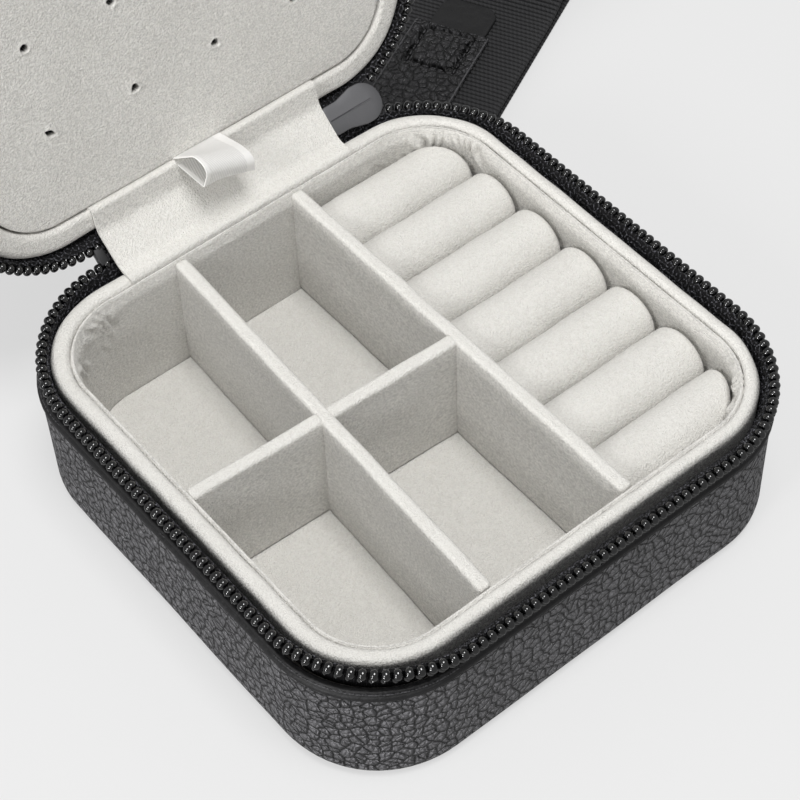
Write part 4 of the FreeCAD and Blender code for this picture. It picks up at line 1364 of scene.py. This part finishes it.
def panel_corner(x, y, half, radius):
    """A square sheet's corners drawn in to rounds: there a point keeps its larger distance from the corner's
    centre as its radius. Gives the new places and their distances from the edge."""
    past_x, past_y = np.abs(x) - (half - radius), np.abs(y) - (half - radius)
    corner, larger = (past_x > 0) & (past_y > 0), np.maximum(past_x, past_y)
    share = np.where(corner, larger / np.where(corner, np.hypot(past_x, past_y), 1), 1)
    new_x = np.where(corner, np.sign(x) * (half - radius + past_x * share), x)
    new_y = np.where(corner, np.sign(y) * (half - radius + past_y * share), y)
    return new_x, new_y, radius - larger


def panel_grids():
    """The earring panel: a padded face whose edge rolls down, with a ragged pit pressed in at each ear hole.
    A pit's depth falls off from its rim as a smooth step."""
    half, rows = HALF - LID_RIM_INNER - 0.4 * MM, panel_holes()
    x, y = np.meshgrid(panel_axis(half, rows[0]), panel_axis(half, rows[1]))
    x, y, edge = panel_corner(x, y, half, CORNER - HALF + half)
    away_x = np.abs(x[..., None] - rows[0]).min(axis=-1)
    away_y = np.abs(y[..., None] - rows[1]).min(axis=-1)
    flat = np.stack([x, y, np.zeros_like(x)], axis=-1)
    away = np.hypot(away_x, away_y) * (1 + 0.35 * waver(flat, 1.1 * MM, 91))
    hole = sizes().hole
    pit = 1 - smoothstep((away - 0.85 * hole) / (0.3 * hole))
    lip = np.exp(-((away - 1.5 * hole) / (0.5 * hole)) ** 2)
    drop = PANEL_ROLL - np.sqrt(np.maximum(PANEL_ROLL ** 2 - np.maximum(PANEL_ROLL - edge, 0) ** 2, 0))
    sway = 0.06 * MM * waver(flat, 17 * MM, 92)
    face = PANEL.low[2] - 0.1 * MM + drop + PIT_DEPTH * pit - 0.1 * MM * lip + sway
    top = np.stack([x, y, face], axis=-1)
    back = np.stack([x, y, np.full_like(x, PANEL.high[2])], axis=-1)
    # Painted shade: black down in each ear hole's pit, and darker where the edge rolls down into the gap.
    hollow = np.maximum(smoothstep(1.6 * pit), 0.75 * smoothstep((drop - 0.25 * MM) / (0.4 * MM)))
    return [opened(grid) for grid in joined(top, back)], [hollow]


def make_panel():
    grids, shades = panel_grids()
    panel = velvet("velvet_earring_panel", grids, "earring_panel", "lid", shades)


def ribbon_grid():
    """The ribbon's loop: a flat line for its left edge and one for its right, which hangs lower, and straight
    threads between them."""
    root = RIBBON.high[2]
    gap = HALF - LID_RIM_INNER
    near, far = (gap + 0.1 * MM, root), (gap - 0.4 * MM, root)
    left = rounded([near, (gap + 1.2 * MM, root - 9.4 * MM), (gap - 4.0 * MM, root - 12.6 * MM),
                    (gap - 5.2 * MM, root - 8.8 * MM), far], [0.7 * MM, 1.7 * MM, 3.0 * MM], 12)
    right = rounded([near, (gap + 3.3 * MM, root - 9.9 * MM), (gap - 0.5 * MM, root - 11.4 * MM),
                     (gap - 1.1 * MM, root - 7.6 * MM), far], [0.7 * MM, 1.5 * MM, 6.0 * MM], 12)
    edges = [even(line, 90) for line in (left, right)]
    across = np.linspace(0, 1, 25)[None, :, None]
    loop = edges[0][:, None] * (1 - across) + edges[1][:, None] * across
    x = RIBBON.low[0] + (RIBBON.high[0] - RIBBON.low[0]) * across
    return np.concatenate([np.broadcast_to(x, loop.shape[:2] + (1,)), loop], axis=-1), edges


def make_ribbon():
    grid, edges = ribbon_grid()
    sheet = slab(opened(grid), RIBBON_THICK)
    ribbon = built("satin_ribbon_pull", sheet, "ribbed_satin", "lid", ["ribbon_pull"])
    outward = opened(np.array([0, HINGE_Y, HINGE_Z - 1.0])) - opened(np.array([0, HINGE_Y, HINGE_Z]))
    root = opened(np.array([0, RIBBON.high[1], RIBBON.high[2]]))
    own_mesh(ribbon)


# Strap

def strap_frame():
    """The strap in plan, from the webbing's points: the directions along and across it, its middle line's
    distance from the origin, its start and end along it, and half its width."""
    middle, along, half = board_frame("strap_webbing")
    along = along * math.copysign(1, along[0])
    across = across_of(along)
    start = middle @ along - half[0]
    return along, across, middle @ across, start, start + 2 * half[0], half[1]


def on_strap(along_strap, across_strap, height):
    """Points from distances along the strap, across it from its middle line, and up."""
    along, across, offset, *_ = strap_frame()
    flat = along_strap[..., None] * along + (offset + across_strap)[..., None] * across
    return raised(flat, height[..., None])


def webbing_line():
    """The webbing's middle line: along the floor, round the far end and back on top."""
    *_, start, end, _ = strap_frame()
    low = WEBBING_THICK / 2
    lay, top, end = low + WEBBING_LAY, WEBBING.high[2] - low, end - low
    return rounded([(start, low), (end, low), (end, top), (end - WEBBING_SWEEP, top), (WEBBING_LANDS, lay),
                    (start, lay)], [WEBBING_BEND] * 2 + [WEBBING_SWEEP] * 2, 14)


def webbing_grids():
    """The webbing: its middle line carried across its width. Ribs stand across it as the absolute value of a
    sine along the line."""
    half, line = strap_frame()[-1], webbing_line()
    line = even(line, int(walked(line)[-1] / sizes().rib_pitch * 8))
    rib = np.abs(np.sin(math.pi * walked(line) / sizes().rib_pitch)) - 0.6
    side = heading(line)[:, ::-1] * [-1, 1]
    turn = np.linspace(0, 2 * math.pi, 45)
    wide = np.sign(np.cos(turn)) * np.abs(np.cos(turn)) ** 0.12
    deep = np.sign(np.sin(turn)) * np.abs(np.sin(turn)) ** 0.5
    width = np.interp(np.cumsum(np.abs(np.diff(wide, prepend=wide[0]))), [0, 2, 4], [1, -1, 1])
    depth = (WEBBING_THICK / 2 + (rib - 0.5) * sizes().rib_depth)[:, None] * deep
    across = np.broadcast_to(half * width, depth.shape)
    grid = on_strap(line[:, :1] + depth * side[:, :1], across, line[:, 1:] + depth * side[:, 1:])
    # Painted shade between the ribs.
    valley = np.broadcast_to(smoothstep(1.25 - 1.6 * (rib[:, None] + 0.6)), depth.shape)
    return closed(grid, 2), [valley]


def tab_path():
    """The tab's middle line and twist: along the back wall, a curve whose ends leave in line with the wall
    and with the strap while the tab turns a quarter turn, and straight on along the strap."""
    along, across, offset, *_ = strap_frame()
    wall = np.array([TAB_WALL_END, HALF + 0.1 * MM + TAB_THICK / 2, TAB_WALL_Z])
    lands = np.append(TAB_FLAT * along + offset * across, TAB_LEVEL)
    pull = np.linalg.norm(lands - wall)
    s = np.linspace(0, 1, 60)[:, None]
    ease = smoothstep(s)
    go, arrive = np.array([pull, 0, 0]), np.append(pull * along, 0)
    curve = wall * (1 - ease) + lands * ease + go * s * (1 - s) ** 2 - arrive * s * s * (1 - s)
    sewn = np.linspace(TAB.low[0], TAB_WALL_END, 20)[:-1, None] * [1, 0, 0] + wall * [0, 1, 1]
    flat = lands + np.linspace(0, TAB_CUT - TAB_FLAT, 90)[1:, None] * np.append(along, 0)
    twist = np.concatenate([np.zeros(len(sewn)), ease[:, 0], np.ones(len(flat))]) * math.pi / 2
    return np.concatenate([sewn, curve, flat]), twist


def tab_ring(half, thick, step):
    """A flat section with round edges: (width, depth) pairs, closed."""
    edge = thick / 2
    line = rounded([(half, 0), (half, edge), (-half, edge), (-half, -edge), (half, -edge), (half, 0)],
                   [0.45 * MM] * 4, 4)
    return filled(line, step)


def tab_frames():
    """The tab's middle line with the directions across its width and out of its face."""
    path, twist = tab_path()
    along = heading(path)
    level = unit(np.cross([0, 0, 1], along))
    up = np.cross(along, level)
    face = level * np.cos(twist)[:, None] + up * np.sin(twist)[:, None]
    return path, up * np.cos(twist)[:, None] - level * np.sin(twist)[:, None], face


def tab_grids():
    """The tab: its section carried along its path. Where it is sewn to the webbing, a groove runs round a
    square and the leather inside it stands up as a cushion."""
    path, width, face = tab_frames()
    ring = tab_ring(TAB_HALF, TAB_THICK, 0.25 * MM)
    grid = path[:, None] + width[:, None] * ring[:, :1] + face[:, None] * ring[:, 1:]
    strap_along, *_ = strap_frame()
    reach = grid[..., :2] @ strap_along
    aside = np.broadcast_to(ring[:, 0], reach.shape)
    square = np.maximum(np.abs(reach - PAD_MIDDLE), np.abs(aside)) - PAD_HALF
    groove_wide, cushion_reach = 0.6 * MM, 2.4 * MM
    groove = -0.85 * np.exp(-(square / groove_wide) ** 4)
    cushion = 0.5 * smoothstep(-square / cushion_reach) + 0.12 * waver(grid, 3 * MM, 95)
    top = smoothstep((face[:, 2:] - 0.99) * 200) * (ring[:, 1] > 0.3 * TAB_THICK)
    grid[..., 2] += (groove + cushion) * MM * top
    # The shade darkens the whole tab's leather, and adds painted shade in the groove round the box.
    return closed(grid, 3), [0.72 + 0.28 * np.clip(-groove * top, 0, 1)]


def tab_edges():
    """A painted highlight along the tab's edges: a thin tube along each upper edge."""
    path, width, face = tab_frames()
    turn = np.linspace(0, 2 * math.pi, 9)
    ring = 0.22 * MM * np.stack([np.cos(turn), np.sin(turn)], axis=-1)
    tubes = []
    for side in (-1, 1):
        corner = ring + [side * (TAB_HALF - 0.2 * MM), TAB_THICK / 2 - 0.2 * MM]
        tubes.append(path[:, None] + width[:, None] * corner[:, :1] + face[:, None] * corner[:, 1:])
    return tubes + [cap(tube[end], 1) for tube in tubes for end in (0, -1)]


def flap_grids():
    """The smooth flap that runs out from under the tab's cut end, with round corners."""
    tucked, inner, high = 1.5 * MM, 3 * MM, FLAP_LOW + FLAP_THICK
    line = rounded([(inner, FLAP_LOW), (0, FLAP_LOW), (0, high), (inner, high)], [0.2 * MM, 0.35 * MM])
    walk = walk_round(TAB_CUT - tucked, FLAP_END, -FLAP_HALF - FLAP_ASIDE, FLAP_HALF - FLAP_ASIDE,
                      3.2 * MM, 0.8 * MM, 12)
    grid = swept(filled(line, 0.6 * MM), walk)
    return closed(on_strap(grid[..., 0], grid[..., 1], grid[..., 2]), 4)


def tab_stitches():
    """Stitches in the groove round the box, as places and frames."""
    run = (np.arange(PAD_STITCHES) + 0.5) * (2 * PAD_HALF / PAD_STITCHES) - PAD_HALF
    edge = np.full(PAD_STITCHES, PAD_HALF)
    reach = np.concatenate([run, run, edge, -edge]) + PAD_MIDDLE
    aside = np.concatenate([edge, -edge, run, run])
    sunk = TAB_LEVEL + TAB_THICK / 2 - 0.7 * MM
    places = on_strap(reach, aside, np.full(len(reach), sunk))
    along, across, *_ = strap_frame()
    first = np.repeat([np.append(along, 0), np.append(across, 0)], 2 * PAD_STITCHES, axis=0)
    up = np.broadcast_to([0.0, 0.0, 1.0], first.shape)
    return places, np.stack([first, np.cross(up, first), up], axis=1)


def make_strap():
    grids, shades = webbing_grids()
    webbing = built("ribbed_webbing_strap", grids, "ribbed_webbing", "base",
                    ["strap_webbing"], shades)
    2 * strap_frame()[-1]
    walked(webbing_line())[-1]
    grids, shades = tab_grids()
    built("pebbled_strap_tab", grids, "pebbled_leather", "base", ["strap_tab"], shades)
    # Thin tubes with a painted highlight along the tab's edges.
    built("tab_edge_lines", tab_edges(), "edge_paint", "base")
    built("smooth_tab_flap", flap_grids(), "turned_leather", "base")
    thread = [stitch_shape(1.25 * MM, 0.2 * MM)]
    repeated("tab_box_stitches", thread, tab_stitches(), "black_thread", "base")


# Boards that stay as they are in the frame, and the stage

def dress_boards():
    """Finishes for the stiff pieces inside the walls."""
    finishes = {"base_card": "fibre_card", "lid_card": "fibre_card", "lid_ledge": "white_velvet_pile",
                "lid_lining": "white_velvet_pile"}
    for node, finish in finishes.items():
        materials = frame["nodes"][node].data.materials
        materials.clear()
        materials.append(finish_named(finish))


def make_camera(stage):
    data = bpy.data.cameras.new("photo_camera")
    data.lens = stage.lens
    data.sensor_width = 36
    data.clip_start, data.clip_end = 0.01, 50
    camera = bpy.data.objects.new("photo_camera", data)
    turn = Matrix((CAMERA_RIGHT, CAMERA_UP, CAMERA_BACK)).transposed().to_4x4()
    camera.matrix_world = Matrix.Translation(CAMERA_EYE) @ turn
    bpy.context.scene.collection.objects.link(camera)
    bpy.context.scene.camera = camera


def make_lamp(name, place, power, size):
    """A square lamp that looks at the case and isn't seen itself."""
    data = bpy.data.lights.new(name, "AREA")
    data.energy = power
    data.size = size
    lamp = bpy.data.objects.new(name, data)
    lamp.visible_camera = False
    lamp.location = place
    lamp.rotation_euler = (-Vector(place)).to_track_quat("-Z", "Y").to_euler()
    bpy.context.scene.collection.objects.link(lamp)


def make_stage():
    stage = bpy.context.scene.case_stage
    world = bpy.data.worlds.new("studio")
    world.use_nodes = True
    background = world.node_tree.nodes["Background"].inputs
    background["Color"].default_value = (1, 1, 1, 1)
    background["Strength"].default_value = stage.sky
    bpy.context.scene.world = world
    bpy.context.scene.view_settings.view_transform = "Standard"
    reach = np.linspace(-STAGE_REACH, STAGE_REACH, 9)
    x, y = np.meshgrid(reach, reach)
    mesh = mesh_of("studio_floor", [np.stack([x, y, np.zeros_like(x)], axis=-1)])
    floor = bpy.data.objects.new("studio_floor", mesh)
    mesh.materials.append(finish_named("studio_floor"))
    bpy.context.scene.collection.objects.link(floor)
    floor.visible_diffuse = False
    floor.visible_glossy = False
    make_lamp("broad_lamp", place=(-0.05, -0.3, 1.4), power=stage.lamp, size=0.52)
    make_lamp("side_lamp", place=(-0.85, -0.15, 0.65), power=stage.side, size=0.3)
    make_lamp("low_lamp", place=(-1.6, -0.25, 0.13), power=stage.low, size=0.24)
    make_camera(stage)


# Operators

class CASE_OT_leather(bpy.types.Operator):
    """Leather shells of the base and the lid, with their turned and stitched edges"""
    bl_idname = "jewel_case.leather"
    bl_label = "Leather"

    def execute(self, context):
        make_leather()
        return {"FINISHED"}


class CASE_OT_tray(bpy.types.Operator):
    """Velvet rim, liner and floor of the base"""
    bl_idname = "jewel_case.tray"
    bl_label = "Velvet tray"

    def execute(self, context):
        make_tray()
        return {"FINISHED"}


class CASE_OT_dividers(bpy.types.Operator):
    """Velvet dividers of the tray"""
    bl_idname = "jewel_case.dividers"
    bl_label = "Dividers"

    def execute(self, context):
        make_dividers()
        return {"FINISHED"}


class CASE_OT_rolls(bpy.types.Operator):
    """Ring rolls and the bed under them"""
    bl_idname = "jewel_case.rolls"
    bl_label = "Ring rolls"

    def execute(self, context):
        make_rolls()
        return {"FINISHED"}


class CASE_OT_zip(bpy.types.Operator):
    """Zip tapes with their knit, and zip teeth"""
    bl_idname = "jewel_case.zip"
    bl_label = "Zip"

    def execute(self, context):
        make_zip()
        return {"FINISHED"}


class CASE_OT_slider(bpy.types.Operator):
    """Zip slider, crown, pull and end stop"""
    bl_idname = "jewel_case.slider"
    bl_label = "Slider"

    def execute(self, context):
        make_slider()
        return {"FINISHED"}


class CASE_OT_hinge(bpy.types.Operator):
    """Velvet hinge strip and leather spine"""
    bl_idname = "jewel_case.hinge"
    bl_label = "Hinge"

    def execute(self, context):
        make_hinge()
        return {"FINISHED"}


class CASE_OT_panel(bpy.types.Operator):
    """Velvet rim and earring panel of the lid"""
    bl_idname = "jewel_case.panel"
    bl_label = "Lid lining"

    def execute(self, context):
        make_lid_rim()
        make_panel()
        return {"FINISHED"}


class CASE_OT_ribbon(bpy.types.Operator):
    """Satin ribbon pull"""
    bl_idname = "jewel_case.ribbon"
    bl_label = "Ribbon"

    def execute(self, context):
        make_ribbon()
        return {"FINISHED"}


class CASE_OT_strap(bpy.types.Operator):
    """Webbing strap and its leather tab"""
    bl_idname = "jewel_case.strap"
    bl_label = "Strap"

    def execute(self, context):
        make_strap()
        return {"FINISHED"}


class CASE_OT_boards(bpy.types.Operator):
    """Finishes of the boards inside the walls"""
    bl_idname = "jewel_case.boards"
    bl_label = "Inner boards"

    def execute(self, context):
        dress_boards()
        return {"FINISHED"}


class CASE_OT_stage(bpy.types.Operator):
    """Floor, light and camera"""
    bl_idname = "jewel_case.stage"
    bl_label = "Stage"

    def execute(self, context):
        make_stage()
        return {"FINISHED"}


STEPS = (CASE_OT_leather, CASE_OT_tray, CASE_OT_dividers, CASE_OT_rolls, CASE_OT_zip, CASE_OT_slider,
         CASE_OT_hinge, CASE_OT_panel, CASE_OT_ribbon, CASE_OT_strap, CASE_OT_boards, CASE_OT_stage)


class CASE_PT_sidebar(bpy.types.Panel):
    """The steps, sizes and colours of the case"""
    bl_idname = "CASE_PT_sidebar"
    bl_label = "Jewellery case"
    bl_space_type = "VIEW_3D"
    bl_region_type = "UI"
    bl_category = "Jewellery case"

    def draw(self, context):
        for step in STEPS:
            self.layout.operator(step.bl_idname)
        for group in (context.scene.case_sizes, context.scene.case_colours, context.scene.case_stage):
            for name in group.bl_rna.properties.keys():
                if name not in ("rna_type", "name"):
                    self.layout.prop(group, name)


GROUPS = (CaseSizes, CaseColours, CaseStage)


def register():
    for group in GROUPS + STEPS + (CASE_PT_sidebar,):
        bpy.utils.register_class(group)
    bpy.types.Scene.case_sizes = PointerProperty(type=CaseSizes)
    bpy.types.Scene.case_colours = PointerProperty(type=CaseColours)
    bpy.types.Scene.case_stage = PointerProperty(type=CaseStage)


def unregister():
    del bpy.types.Scene.case_sizes
    del bpy.types.Scene.case_colours
    del bpy.types.Scene.case_stage
    for group in reversed(GROUPS + STEPS + (CASE_PT_sidebar,)):
        bpy.utils.unregister_class(group)


def main():
    register()
    for step in STEPS:
        getattr(bpy.ops.jewel_case, step.bl_idname.split(".")[1])()


if __name__ == "__main__":
    main()
